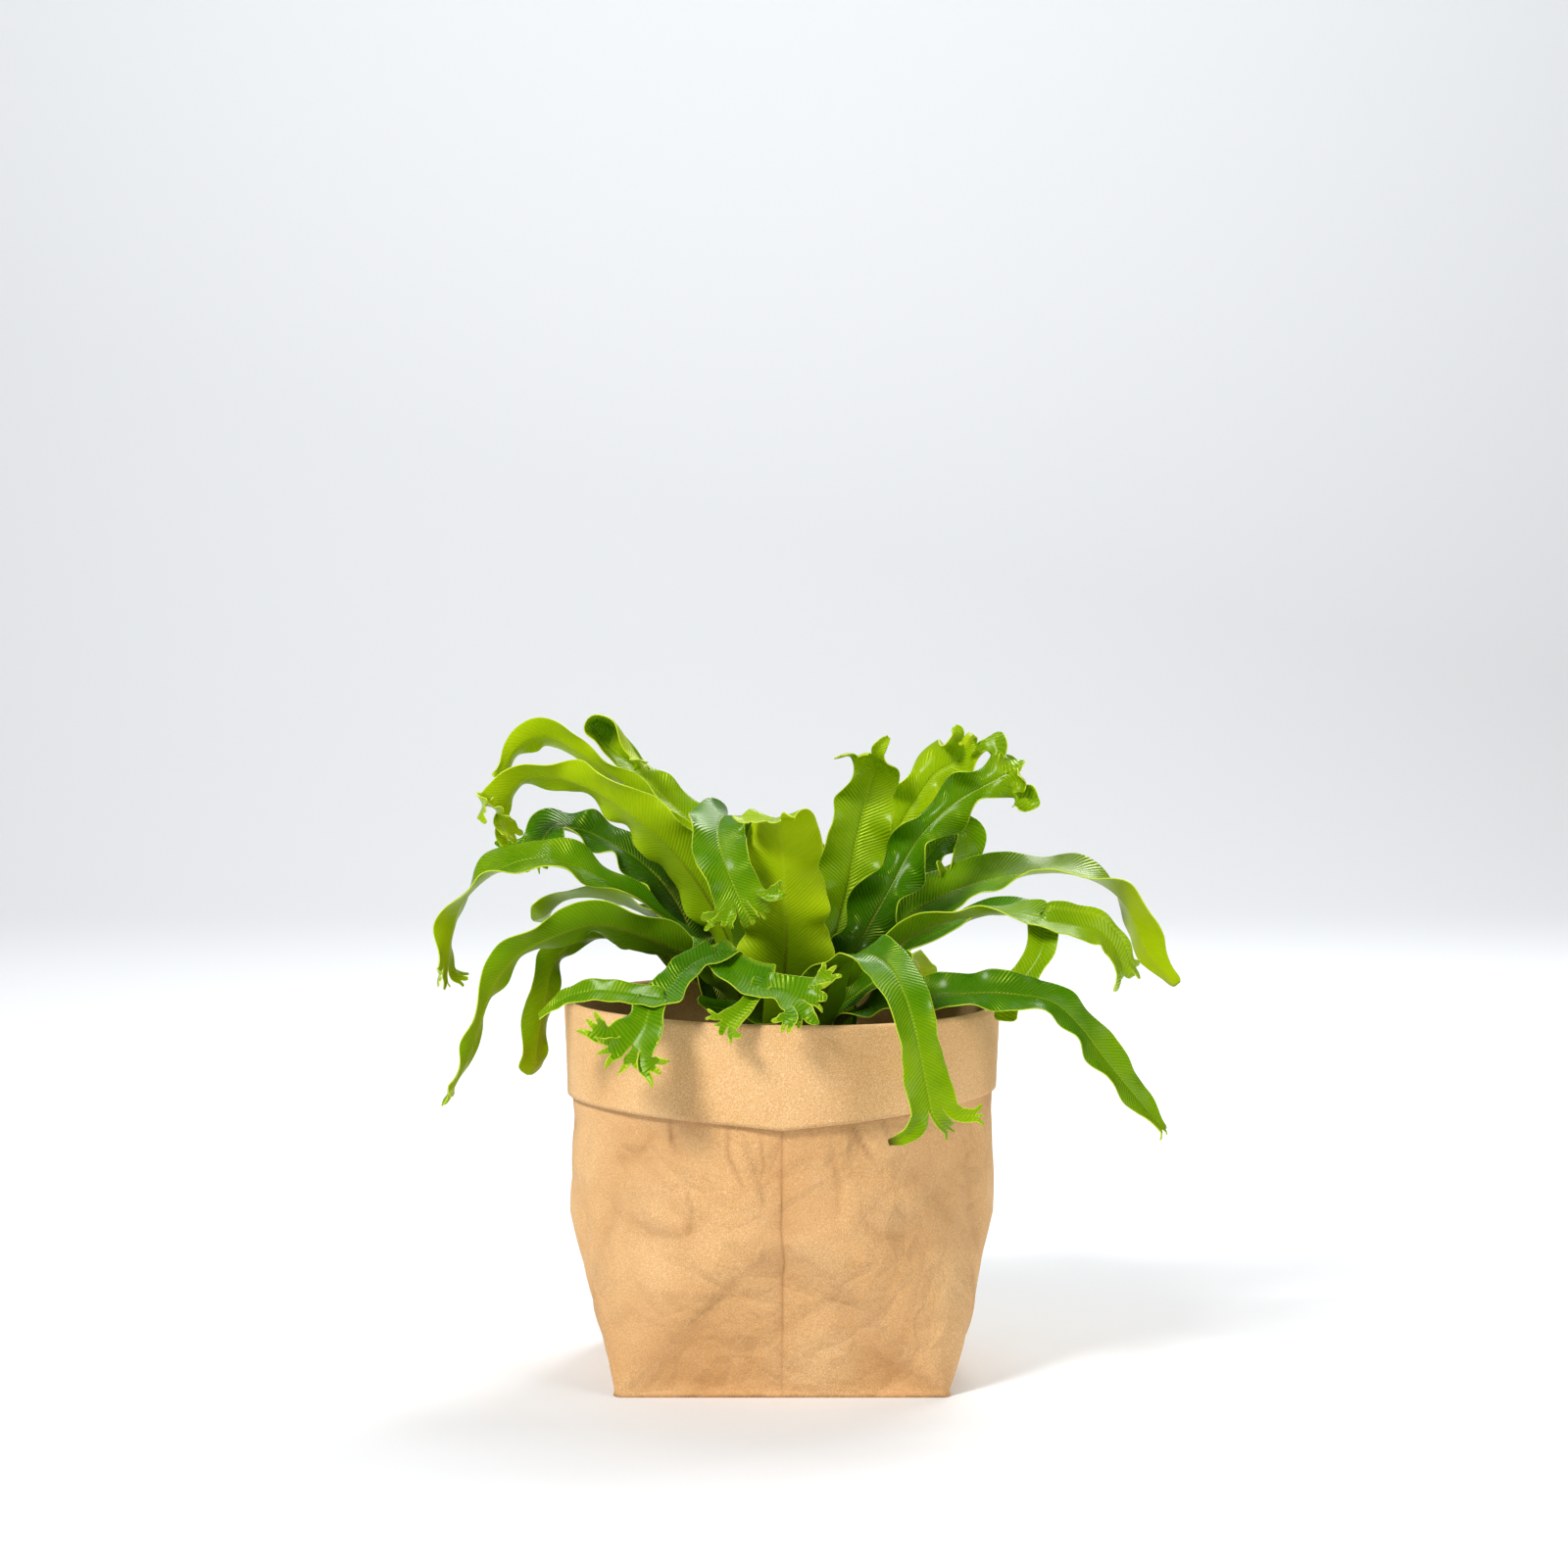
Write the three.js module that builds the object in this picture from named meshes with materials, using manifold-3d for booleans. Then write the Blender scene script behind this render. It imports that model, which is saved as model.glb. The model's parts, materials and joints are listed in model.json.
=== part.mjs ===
// A crested bird's-nest fern in a black nursery pot, standing in a washable-paper bag whose top is
// folded down as a cuff.
// Millimetres, +Z up. The origin is the middle of the bag's base, on the surface that it stands on,
// with +X to the plant's right and -Y to its front.
import * as THREE from "three";
import { mergeVertices } from "three/addons/utils/BufferGeometryUtils.js";
import Module from "manifold-3d";

const wasm = await Module();
wasm.setup();

// ---- Driving dimensions, in millimetres ----

// the paper bag
const BAG_HEIGHT = 171; // from the base to the top of the cuff's fold
const BAG_RADIUS = 97; // outside of the wall where it is round
const BASE_SIDE = 148; // side of the square base
const WAIST_HEIGHT = 73; // where the square base has become round
const PAPER = 0.8; // thickness of the washable paper
const CUFF_HEIGHT = 45; // how far the cuff is folded down
const CUFF_GAP = 2.6; // air between the wall and the cuff

// the nursery pot, which is chosen to fit the bag
const POT_RIM_ROOM = 19.2; // mean air between the bag's wall and the pot's rim
const POT_BASE_ROOM = 17.2; // air between the side of the bag's base and the pot's base
const POT_HEADROOM = 29.9; // how far the pot's rim stays below the bag's mouth
const POT_WALL = 1.2;
const POT_LIP_HEIGHT = 14; // the straight, thicker band under the rim
const POT_LIP_STEP = 1.6; // how far that band stands out from the tapered wall
const POT_OFFSET = 5; // the pot stands this far to the right of the bag's middle
const DRAIN_HOLES = 6;
const DRAIN_RADIUS = 5;
const DRAIN_FROM_EDGE = 18; // from the edge of the pot's base to the middle of each hole

// the soil and the crown that the fronds grow from
const SOIL_BELOW_RIM = 10;
const SOIL_DOME = 5; // how much the soil rises to its middle
const SHOULDER_RISE = 0.7; // share of that rise reached half way in
const CROWN_RADIUS = 20;
const CROWN_RISE = 16; // above the soil
const CROWN_DEPTH = 14; // below the soil
const CROWN_FOOT_SHARE = 0.6; // the buried end's radius as a share of the crown's
const CROWN_BEVEL_SHARE = 0.4; // share of the buried depth where it starts to narrow

// the fronds
const FROND_THICKNESS = 1.1;
const STIPE_HALF_WIDTH = 2.1; // the narrow foot of each frond
const FORK_TIP_HALF_WIDTH = 1; // no fork ends narrower than this
const LEAVING = 5; // each frond leaves the crown squarely for this far
const FROND_CUP = 0.16; // how much a blade's margins rise, as a share of its half width
const CUFF_CLEARANCE = 3; // least air between the cuff and the fronds that hang over it

const GAP = 0.3; // between pieces that touch

// ---- Places that follow from them ----

const BAG_FLOOR = PAPER;
const POT_FLOOR = BAG_FLOOR + GAP;
const POT_TOP = BAG_HEIGHT - POT_HEADROOM;
const POT_HEIGHT = POT_TOP - POT_FLOOR;
const POT_RIM_RADIUS = BAG_RADIUS - PAPER - POT_RIM_ROOM;
const POT_BASE_RADIUS = BASE_SIDE / 2 - PAPER - POT_BASE_ROOM;
const DRAIN_CIRCLE = POT_BASE_RADIUS - DRAIN_FROM_EDGE;
const SOIL_EDGE = POT_TOP - SOIL_BELOW_RIM;
const SOIL_TOP = SOIL_EDGE + SOIL_DOME;

// ---- Helpers ----

// A closed geometry as a manifold-3d solid.
function solid(geometry) {
  const bare = geometry.clone();
  bare.deleteAttribute("normal");
  bare.deleteAttribute("uv");
  const merged = mergeVertices(bare, 1e-4);
  return new wasm.Manifold(
    new wasm.Mesh({
      numProp: 3,
      vertProperties: new Float32Array(merged.attributes.position.array),
      triVerts: new Uint32Array(merged.index.array),
    }),
  );
}

// A manifold-3d solid as a geometry.
function geometryOf(body) {
  const mesh = body.getMesh();
  const geometry = new THREE.BufferGeometry();
  geometry.setAttribute("position", new THREE.BufferAttribute(mesh.vertProperties, 3));
  geometry.setIndex(new THREE.BufferAttribute(mesh.triVerts, 1));
  geometry.computeVertexNormals();
  return geometry;
}

// A turned shape about +Z from [radius, height] points that run from the axis, round the outside,
// to the axis.
function turned(profile, segments) {
  const points = profile.map(([radius, height]) => new THREE.Vector2(radius, height));
  const geometry = new THREE.LatheGeometry(points, segments);
  geometry.rotateX(Math.PI / 2);
  return geometry;
}

// Changes each vertex of a geometry in place.
function reshape(geometry, change) {
  const position = geometry.getAttribute("position");
  const point = new THREE.Vector3();
  for (let i = 0; i < position.count; i++) {
    point.fromBufferAttribute(position, i);
    change(point);
    position.setXYZ(i, point.x, point.y, point.z);
  }
  geometry.computeVertexNormals();
  return geometry;
}

// The value at u from 0 to 1 of a list of numbers spread evenly along a frond.
function along(values, u) {
  const place = u * (values.length - 1);
  const low = Math.min(Math.floor(place), values.length - 2);
  const share = place - low;
  const smooth = share * share * (3 - 2 * share);
  return values[low] + (values[low + 1] - values[low]) * smooth;
}

function material(colour, roughness) {
  return new THREE.MeshStandardMaterial({ color: colour, roughness, metalness: 0 });
}

const kraftPaper = () => material("#d9ab74", 0.85);
const potPlastic = () => material("#1d1c1b", 0.5);
const pottingMix = () => material("#3a2718", 1);
const rhizome = () => material("#4b3a22", 0.9);
const leaf = (colour) => material(colour, 0.45);

const fern = new THREE.Group();

function place(name, geometry, finish) {
  const mesh = new THREE.Mesh(geometry, finish);
  mesh.name = name;
  fern.add(mesh);
  return mesh;
}

// ---- The bag: one sheet with a flat square floor, a round mouth and a cuff folded down outside ----

const BASE_SQUARENESS = 12; // exponent of the superellipse: 2 is a circle, more is squarer
const AROUND_BAG = 48;
const DIAGONAL = 0.7; // how far the fold's middle facet stands out and up, of its radius

// How far the wall stands from the axis in one direction, as a share of the round wall's radius.
function wallShare(angle, height) {
  const power = BASE_SQUARENESS;
  const sum = Math.abs(Math.cos(angle)) ** power + Math.abs(Math.sin(angle)) ** power;
  const square = BASE_SIDE / 2 / sum ** (1 / power);
  const rise = Math.min(Math.max(height / WAIST_HEIGHT, 0), 1);
  return (square + (BAG_RADIUS - square) * rise) / BAG_RADIUS;
}

function paperBag() {
  const inner = BAG_RADIUS - PAPER;
  const cuffInner = BAG_RADIUS + CUFF_GAP;
  const cuffOuter = cuffInner + PAPER;
  const cuffFoot = BAG_HEIGHT - CUFF_HEIGHT;
  const foldRadius = (cuffOuter - inner) / 2;
  const foldMiddle = inner + foldRadius;
  const foldInner = (cuffInner - BAG_RADIUS) / 2;
  const foldLevel = BAG_HEIGHT - foldRadius;
  const profile = [
    [0, 0],
    [BAG_RADIUS / 2, 0],
    [BAG_RADIUS, 0],
    [BAG_RADIUS, WAIST_HEIGHT / 3],
    [BAG_RADIUS, (WAIST_HEIGHT * 2) / 3],
    [BAG_RADIUS, WAIST_HEIGHT],
    [BAG_RADIUS, cuffFoot],
    [BAG_RADIUS, foldLevel],
    [foldMiddle, foldLevel + foldInner],
    [cuffInner, foldLevel],
    [cuffInner, cuffFoot],
    [cuffOuter, cuffFoot],
    [cuffOuter, foldLevel],
    [foldMiddle + foldRadius * DIAGONAL, foldLevel + foldRadius * DIAGONAL],
    [foldMiddle, BAG_HEIGHT],
    [foldMiddle - foldRadius * DIAGONAL, foldLevel + foldRadius * DIAGONAL],
    [inner, foldLevel],
    [inner, WAIST_HEIGHT],
    [inner, (WAIST_HEIGHT * 2) / 3],
    [inner, WAIST_HEIGHT / 3],
    [inner, BAG_FLOOR],
    [BAG_RADIUS / 2, BAG_FLOOR],
    [0, BAG_FLOOR],
  ];
  return reshape(turned(profile, AROUND_BAG), (point) => {
    const share = wallShare(Math.atan2(point.y, point.x), point.z);
    point.x *= share;
    point.y *= share;
  });
}

place("paper_bag", paperBag(), kraftPaper());

// ---- The nursery pot, the soil in it and the crown in the soil ----

const AROUND_POT = 36;
const AROUND_DRAIN = 16;
const AROUND_CROWN = 24;
const UP_CROWN = 6; // facets from the crown's edge to its top

// Inside radius of the pot's tapered wall at a height above the pot's own floor.
function potInside(height) {
  const flare = POT_RIM_RADIUS - POT_LIP_STEP - POT_BASE_RADIUS;
  return POT_BASE_RADIUS - POT_WALL + (flare * height) / POT_HEIGHT;
}

function nurseryPot() {
  const lipFoot = POT_HEIGHT - POT_LIP_HEIGHT;
  const wallTop = potInside(POT_HEIGHT);
  const wallAtLip = potInside(lipFoot) + POT_WALL;
  const shell = turned(
    [
      [0, 0],
      [POT_BASE_RADIUS, 0],
      [wallAtLip, lipFoot],
      [POT_RIM_RADIUS, lipFoot],
      [POT_RIM_RADIUS, POT_HEIGHT],
      [wallTop, POT_HEIGHT],
      [potInside(POT_WALL), POT_WALL],
      [0, POT_WALL],
    ],
    AROUND_POT,
  );
  let body = solid(shell);
  for (let i = 0; i < DRAIN_HOLES; i++) {
    const angle = (i / DRAIN_HOLES) * 2 * Math.PI;
    const hole = new THREE.CylinderGeometry(
      DRAIN_RADIUS,
      DRAIN_RADIUS,
      4 * POT_WALL,
      AROUND_DRAIN,
    );
    hole.rotateX(Math.PI / 2);
    hole.translate(DRAIN_CIRCLE * Math.cos(angle), DRAIN_CIRCLE * Math.sin(angle), POT_WALL);
    body = body.subtract(solid(hole));
  }
  return geometryOf(body).translate(POT_OFFSET, 0, POT_FLOOR);
}

function pottingSoil() {
  const foot = POT_WALL + GAP;
  const edge = POT_HEIGHT - SOIL_BELOW_RIM;
  const socket = CROWN_RADIUS + GAP;
  const top = edge + SOIL_DOME;
  return turned(
    [
      [0, foot],
      [potInside(foot) - GAP, foot],
      [potInside(edge) - GAP, edge],
      [(potInside(edge) + socket) / 2, edge + SOIL_DOME * SHOULDER_RISE],
      [socket, top],
      [socket, top - CROWN_DEPTH * CROWN_BEVEL_SHARE],
      [socket * CROWN_FOOT_SHARE, top - CROWN_DEPTH - GAP],
      [0, top - CROWN_DEPTH - GAP],
    ],
    AROUND_POT,
  ).translate(POT_OFFSET, 0, POT_FLOOR);
}

function crown() {
  const points = [
    [0, -CROWN_DEPTH],
    [CROWN_RADIUS * CROWN_FOOT_SHARE, -CROWN_DEPTH],
    [CROWN_RADIUS, -CROWN_DEPTH * CROWN_BEVEL_SHARE],
  ];
  for (let i = 0; i < UP_CROWN; i++) {
    const lift = ((i / UP_CROWN) * Math.PI) / 2;
    points.push([CROWN_RADIUS * Math.cos(lift), CROWN_RISE * Math.sin(lift)]);
  }
  points.push([0, CROWN_RISE]);
  return turned(points, AROUND_CROWN).translate(POT_OFFSET, 0, SOIL_TOP);
}

place("nursery_pot", nurseryPot(), potPlastic());
place("potting_soil", pottingSoil(), pottingMix());
place("crown", crown(), rhizome());

// ---- The fronds ----

// The midribs are drawn over a bag mouth of this radius. They follow the mouth and its height
// when the bag changes.
const DRAWN_MOUTH = 104;
const MOUTH = BAG_RADIUS + CUFF_GAP + PAPER + CUFF_CLEARANCE;
const SPREAD = MOUTH / DRAWN_MOUTH;

// They are drawn over a pot that stands this far below the mouth. When it stands elsewhere, it
// carries the middle of the plant up or down with it, and the fronds still clear the mouth.
const DRAWN_HEADROOM = 29.9;
const RISE = DRAWN_HEADROOM - POT_HEADROOM;

// A smaller bag than this holds a smaller plant, with narrower fronds.
const DRAWN_BAG_RADIUS = 97;
const NARROWING = Math.min(BAG_RADIUS / DRAWN_BAG_RADIUS, 1);

// A midrib point from [right, back, above the bag's rim].
function overMouth([right, back, above]) {
  const carried = RISE * Math.max(1 - Math.hypot(right, back) / DRAWN_MOUTH, 0);
  return new THREE.Vector3(right * SPREAD, back * SPREAD, BAG_HEIGHT + above + carried);
}

// Where a frond leaves the crown: a turn round it and a lift up its dome, both in degrees.
function seat([turn, lift]) {
  const a = THREE.MathUtils.degToRad(turn);
  const e = THREE.MathUtils.degToRad(lift);
  const onDome = new THREE.Vector3(
    CROWN_RADIUS * Math.cos(e) * Math.cos(a),
    CROWN_RADIUS * Math.cos(e) * Math.sin(a),
    CROWN_RISE * Math.sin(e),
  );
  const outward = new THREE.Vector3(
    Math.cos(e) * Math.cos(a) * CROWN_RISE,
    Math.cos(e) * Math.sin(a) * CROWN_RISE,
    Math.sin(e) * CROWN_RADIUS,
  ).normalize();
  const foot = onDome.addScaledVector(outward, GAP);
  foot.add(new THREE.Vector3(POT_OFFSET, 0, SOIL_TOP));
  return [foot, foot.clone().addScaledVector(outward, LEAVING)];
}

// Half widths from foot to tip, as shares of the widest.
const BLADE = [0.14, 0.3, 0.65, 0.92, 1, 0.96, 0.85, 0.65, 0.3];
const STRAP = [0.6, 0.8, 1, 1, 0.7, 0.3];

// A ribbon along a smooth curve. faces are the directions that the upper side looks in,
// from foot to tip.
function ribbon(points, { half, least, shares, faces }, steps) {
  const curve = new THREE.CatmullRomCurve3(points, false, "centripetal");
  const looks = [0, 1, 2].map((axis) => faces.map((face) => face[axis]));
  const geometry = new THREE.BoxGeometry(2, FROND_THICKNESS, 1, 2, 1, steps);
  return reshape(geometry, (point) => {
    const u = Math.min(Math.max(0.5 - point.z, 0), 1);
    const across = point.x;
    const layer = point.y;
    const tangent = curve.getTangentAt(u);
    const face = new THREE.Vector3(...looks.map((values) => along(values, u)));
    const side = new THREE.Vector3().crossVectors(tangent, face).normalize();
    const up = new THREE.Vector3().crossVectors(side, tangent).normalize();
    const reach = NARROWING * Math.max(half * along(shares, u), least);
    point.copy(curve.getPointAt(u));
    point.addScaledVector(side, across * reach);
    point.addScaledVector(up, layer + Math.abs(across) * reach * FROND_CUP);
  });
}

// One frond, with any forks of its blade joined to it.
function frond({ from, rib, half, shares = BLADE, faces, forks = [] }) {
  const points = [...seat(from), ...rib.map(overMouth)];
  const blade = { half, shares, faces, least: STIPE_HALF_WIDTH };
  let body = solid(ribbon(points, blade, 2 * points.length - 2));
  for (const fork of forks) {
    const strap = { half: fork.half, shares: STRAP, faces: fork.faces, least: FORK_TIP_HALF_WIDTH };
    body = body.add(solid(ribbon(fork.rib.map(overMouth), strap, 2 * fork.rib.length)));
  }
  return geometryOf(body);
}

const BRIGHT = "#8fb010";
const MID = "#5a9610";
const DARK = "#34660f";

// from: turn and lift on the crown. rib: points of the midrib. half: the widest half width.
// faces: the directions that the upper side looks in.
const FRONDS = {
  left_high: {
    colour: BRIGHT,
    from: [192, 45],
    rib: [
      [-16, 0, 3], [-31, -3, 40], [-46, -7, 63], [-64, -10, 81], [-84, -8, 95], [-105, -6, 102],
      [-120, -6, 101], [-129, -8, 90],
    ],
    half: 12,
    shares: [0.14, 0.25, 0.55, 1, 1.15, 1, 0.8, 0.6, 0.3],
    faces: [[0, 1, 0.3], [0, 0.8, 0.6], [-0.3, 0.6, 0.7]],
  },
  left_upper: {
    colour: BRIGHT,
    from: [162, 45],
    rib: [
      [-14, 10, 2], [-26, 20, 37], [-45, 26, 69], [-70, 30, 94], [-90, 30, 108], [-104, 30, 117],
      [-114, 28, 119], [-125, 26, 113], [-131, 25, 103],
    ],
    half: 9,
    shares: [0.14, 0.3, 0.6, 0.8, 0.9, 0.8, 0.5, 1, 0.5],
    faces: [[0, 1, 0.3], [-0.1, 0.6, 0.8], [0, 0.7, 0.7], [-0.5, 0.8, 0.4]],
  },
  left_top: {
    colour: MID,
    from: [132, 45],
    rib: [
      [-9, 17, 6], [-22, 35, 45], [-38, 48, 72], [-57, 55, 89], [-73, 58, 105], [-85, 58, 115],
      [-89, 56, 124], [-81, 51, 124], [-69, 45, 108],
    ],
    half: 13,
    faces: [[0.3, -1, 0.2], [0.4, -0.9, 0.2], [0.6, -0.8, 0.3], [0.9, -0.5, 0.2], [0, -0.3, -1]],
  },
  left_dark: {
    colour: DARK,
    from: [184, 15],
    rib: [
      [-27, -2, -8], [-38, 3, 18], [-50, 12, 44], [-65, 18, 60], [-81, 20, 70], [-95, 19, 76],
      [-107, 16, 77], [-112, 10, 71],
    ],
    half: 13,
    faces: [[0, 0, 1], [0, -0.5, 0.9], [-0.3, -0.5, 0.8]],
  },
  left_long: {
    colour: MID,
    from: [203, 15],
    rib: [
      [-25, -12, 7], [-44, -18, 32], [-64, -22, 47], [-81, -25, 56], [-96, -27, 63],
      [-113, -29, 66], [-131, -31, 60], [-146, -32, 46], [-151, -33, 32], [-153, -34, 18],
    ],
    half: 10,
    shares: [0.2, 0.2, 0.25, 0.2, 0.25, 0.8, 1, 0.9, 0.3],
    faces: [[0, -0.3, 1], [0, -0.5, 0.9], [-0.3, -0.4, 0.8], [-0.8, 0.4, 0.3]],
  },
  left_round: {
    colour: MID,
    from: [148, 15],
    rib: [
      [-27, 14, 1], [-49, 26, 26], [-73, 34, 39], [-91, 38, 43], [-104, 40, 41], [-112, 38, 34],
    ],
    half: 14,
    faces: [[0, 0.2, 1], [0, 0.3, 1], [-0.4, 0.3, 0.8]],
  },
  left_low: {
    colour: MID,
    from: [222, 15],
    rib: [
      [-21, -18, 0], [-35, -28, 18], [-52, -36, 27], [-70, -42, 35], [-85, -46, 38],
      [-103, -49, 33], [-119, -52, 25], [-130, -54, 12], [-136, -56, -4], [-142, -57, -22],
      [-148, -57, -34],
    ],
    half: 11,
    faces: [[0, 0.4, 1], [-0.1, 0.7, 0.7], [-0.5, 0.6, 0.6], [-0.9, 0.3, 0.2]],
  },
  left_hang: {
    colour: MID,
    from: [166, 15],
    rib: [
      [-28, 10, -8], [-46, 14, 12], [-66, 13, 23], [-85, 11, 27], [-100, 9, 23], [-108, 8, 12],
      [-111, 8, -2], [-114, 8, -17], [-116, 8, -32],
    ],
    half: 9,
    faces: [[0, 0.3, 1], [-0.2, 0.5, 0.8], [-0.6, 0.7, 0.2]],
  },
  front_fork: {
    colour: MID,
    from: [246, 15],
    rib: [
      [-16, -34, -6], [-23, -58, 20], [-33, -73, 30], [-42, -88, 22], [-53, -101, 11],
      [-63, -109, -3], [-71, -114, -18],
    ],
    half: 10,
    faces: [[0, -0.2, 1], [0, -0.4, 1], [-0.3, -0.9, 0.5]],
    forks: [
      {
        rib: [[-50, -98, 14], [-66, -99, 12], [-83, -95, 12], [-96, -88, 8], [-106, -82, 1]],
        half: 5,
        faces: [[-0.2, -0.7, 0.7], [-0.2, -0.6, 0.8], [-0.7, -0.5, 0.5]],
      },
      {
        rib: [[-31, -73, 29], [-21, -86, 21], [-8, -95, 15], [4, -102, 12], [13, -105, 8]],
        half: 8,
        faces: [[0, -0.5, 0.9], [0, -0.6, 0.8], [0.3, -0.8, 0.5]],
      },
      {
        rib: [[-10, -94, 15], [-15, -102, 9], [-21, -108, 3], [-24, -110, -4]],
        half: 5,
        faces: [[0, -0.8, 0.6], [-0.2, -0.9, 0.3]],
      },
    ],
  },
  front_tall: {
    colour: BRIGHT,
    from: [262, 45],
    rib: [[1, -28, 6], [2, -38, 32], [1, -44, 57], [0, -47, 75], [-2, -51, 86], [-6, -58, 85]],
    half: 18,
    shares: [0.13, 0.4, 0.85, 1, 1, 1, 0.9, 0.7, 0.4],
    faces: [[0, 1, 0.3], [0, 1, 0.1], [0, 1, 0.2], [0.2, 0.3, 1]],
  },
  front_bent: {
    colour: MID,
    from: [205, 68],
    rib: [
      [-9, -12, 8], [-16, -15, 44], [-20, -17, 72], [-24, -21, 85], [-28, -31, 84],
      [-29, -44, 77], [-25, -55, 64], [-19, -60, 50],
    ],
    half: 10,
    faces: [[0.2, 1, 0.2], [0.2, 1, 0.2], [0.1, 0.6, 0.9], [0, -0.8, 0.6], [0, -1, 0.2]],
  },
  back_left_low: {
    colour: MID,
    from: [113, 15],
    rib: [
      [-6, 30, 6], [-14, 55, 24], [-24, 82, 32], [-32, 106, 24], [-36, 124, 0], [-38, 132, -34],
    ],
    half: 12,
    faces: [[0, -0.2, 1], [0, 0, 1], [-0.2, 0.6, 0.7]],
  },
  back_left_nod: {
    colour: MID,
    from: [131, 15],
    rib: [
      [-18, 20, 1], [-30, 34, 24], [-42, 44, 42], [-52, 52, 54], [-58, 66, 59], [-60, 84, 56],
      [-58, 100, 44],
    ],
    half: 10,
    faces: [[0.3, -0.6, 0.7], [0.2, -0.5, 0.8], [0, 0.3, 1]],
  },
  back_upright: {
    colour: MID,
    from: [98, 45],
    rib: [[2, 24, 8], [4, 38, 42], [6, 55, 62], [10, 78, 64], [12, 98, 50], [13, 112, 26]],
    half: 11,
    faces: [[0, -1, 0.3], [0, -0.7, 0.7], [0, 0.2, 1], [0, 0.9, 0.4]],
  },
  back_tall: {
    colour: BRIGHT,
    from: [42, 45],
    rib: [
      [18, 12, 1], [25, 20, 26], [31, 25, 49], [35, 26, 71], [40, 25, 91], [43, 20, 104],
      [40, 12, 111],
    ],
    half: 14,
    faces: [[0, -1, 0.3], [0.1, -1, 0.2], [0.1, -1, 0.2], [0, -0.5, -0.8]],
  },
  back_curled: {
    colour: BRIGHT,
    from: [68, 45],
    rib: [
      [16, 22, 2], [30, 38, 36], [44, 46, 58], [55, 50, 74], [64, 52, 88], [73, 52, 100],
      [84, 50, 107], [89, 47, 116],
    ],
    half: 11,
    faces: [[0, -1, 0.3], [0, -1, 0.2], [0, -1, 0.3]],
  },
  back_right_nod: {
    colour: MID,
    from: [44, 15],
    rib: [
      [27, 22, 0], [45, 44, 26], [64, 62, 52], [78, 68, 68], [87, 66, 72], [89, 61, 62],
      [81, 58, 50],
    ],
    half: 9,
    faces: [[-0.3, -0.7, 0.7], [-0.2, -0.7, 0.7], [0.1, -0.5, 0.9], [0.6, -0.7, -0.2]],
  },
  back_arch: {
    colour: DARK,
    from: [88, 15],
    rib: [[8, 30, 2], [17, 50, 20], [26, 74, 32], [34, 100, 30], [40, 122, 8], [43, 134, -24]],
    half: 12,
    faces: [[0, -0.2, 1], [0, 0, 1], [0.2, 0.8, 0.5]],
  },
  back_right_low: {
    colour: BRIGHT,
    from: [66, 15],
    rib: [[20, 26, -5], [40, 60, 6], [56, 84, 10], [66, 104, 6], [70, 116, -8], [70, 122, -32]],
    half: 8,
    faces: [[0, -0.2, 1], [0, -0.2, 1], [0.3, 0.6, 0.6]],
  },
  right_wavy: {
    colour: MID,
    from: [14, 45],
    rib: [
      [24, 6, 4], [35, 10, 22], [43, 12, 36], [50, 14, 48], [57, 18, 61], [67, 22, 75],
      [81, 22, 88], [102, 19, 100],
    ],
    half: 14,
    faces: [[-0.3, -0.9, 0.5], [-0.2, -0.95, 0.3], [-0.2, -0.95, 0.3]],
  },
  right_long: {
    colour: MID,
    from: [22, 15],
    rib: [
      [31, 16, 1], [50, 32, 24], [66, 38, 38], [86, 42, 47], [110, 42, 53], [137, 39, 54],
      [153, 36, 48], [162, 34, 40], [168, 31, 28], [173, 29, 17], [183, 27, 5],
    ],
    half: 12,
    shares: [0.18, 0.4, 0.75, 1, 1, 1, 0.9, 0.6, 0.2],
    faces: [[0, -0.4, 1], [0, -0.5, 0.9], [0.3, 0.3, 0.9], [0.6, 0.7, 0.4]],
  },
  right_mid: {
    colour: MID,
    from: [0, 15],
    rib: [
      [29, -4, -6], [50, -6, 16], [69, -7, 29], [92, -3, 38], [114, 0, 41], [133, 2, 38],
      [146, 2, 30], [155, 2, 20],
    ],
    half: 10,
    faces: [[0, -0.3, 1], [0, -0.2, 1], [0.4, -0.1, 0.9]],
  },
  right_fork: {
    colour: MID,
    from: [332, 15],
    rib: [
      [28, -17, -2], [46, -27, 21], [65, -32, 35], [89, -36, 41], [106, -39, 42], [119, -41, 39],
      [133, -41, 37], [144, -38, 34], [151, -36, 27], [155, -35, 16],
    ],
    half: 11,
    shares: [0.2, 0.5, 0.85, 1, 1, 1, 0.9, 0.7, 0.4],
    faces: [[0, 0.3, 1], [0, 0.6, 0.8], [0, 0.4, 0.9], [0.2, -0.6, 0.7], [0.6, -0.7, 0.3]],
    forks: [
      {
        rib: [[120, -42, 38], [117, -47, 26], [109, -50, 14], [98, -52, 5]],
        half: 6,
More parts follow.
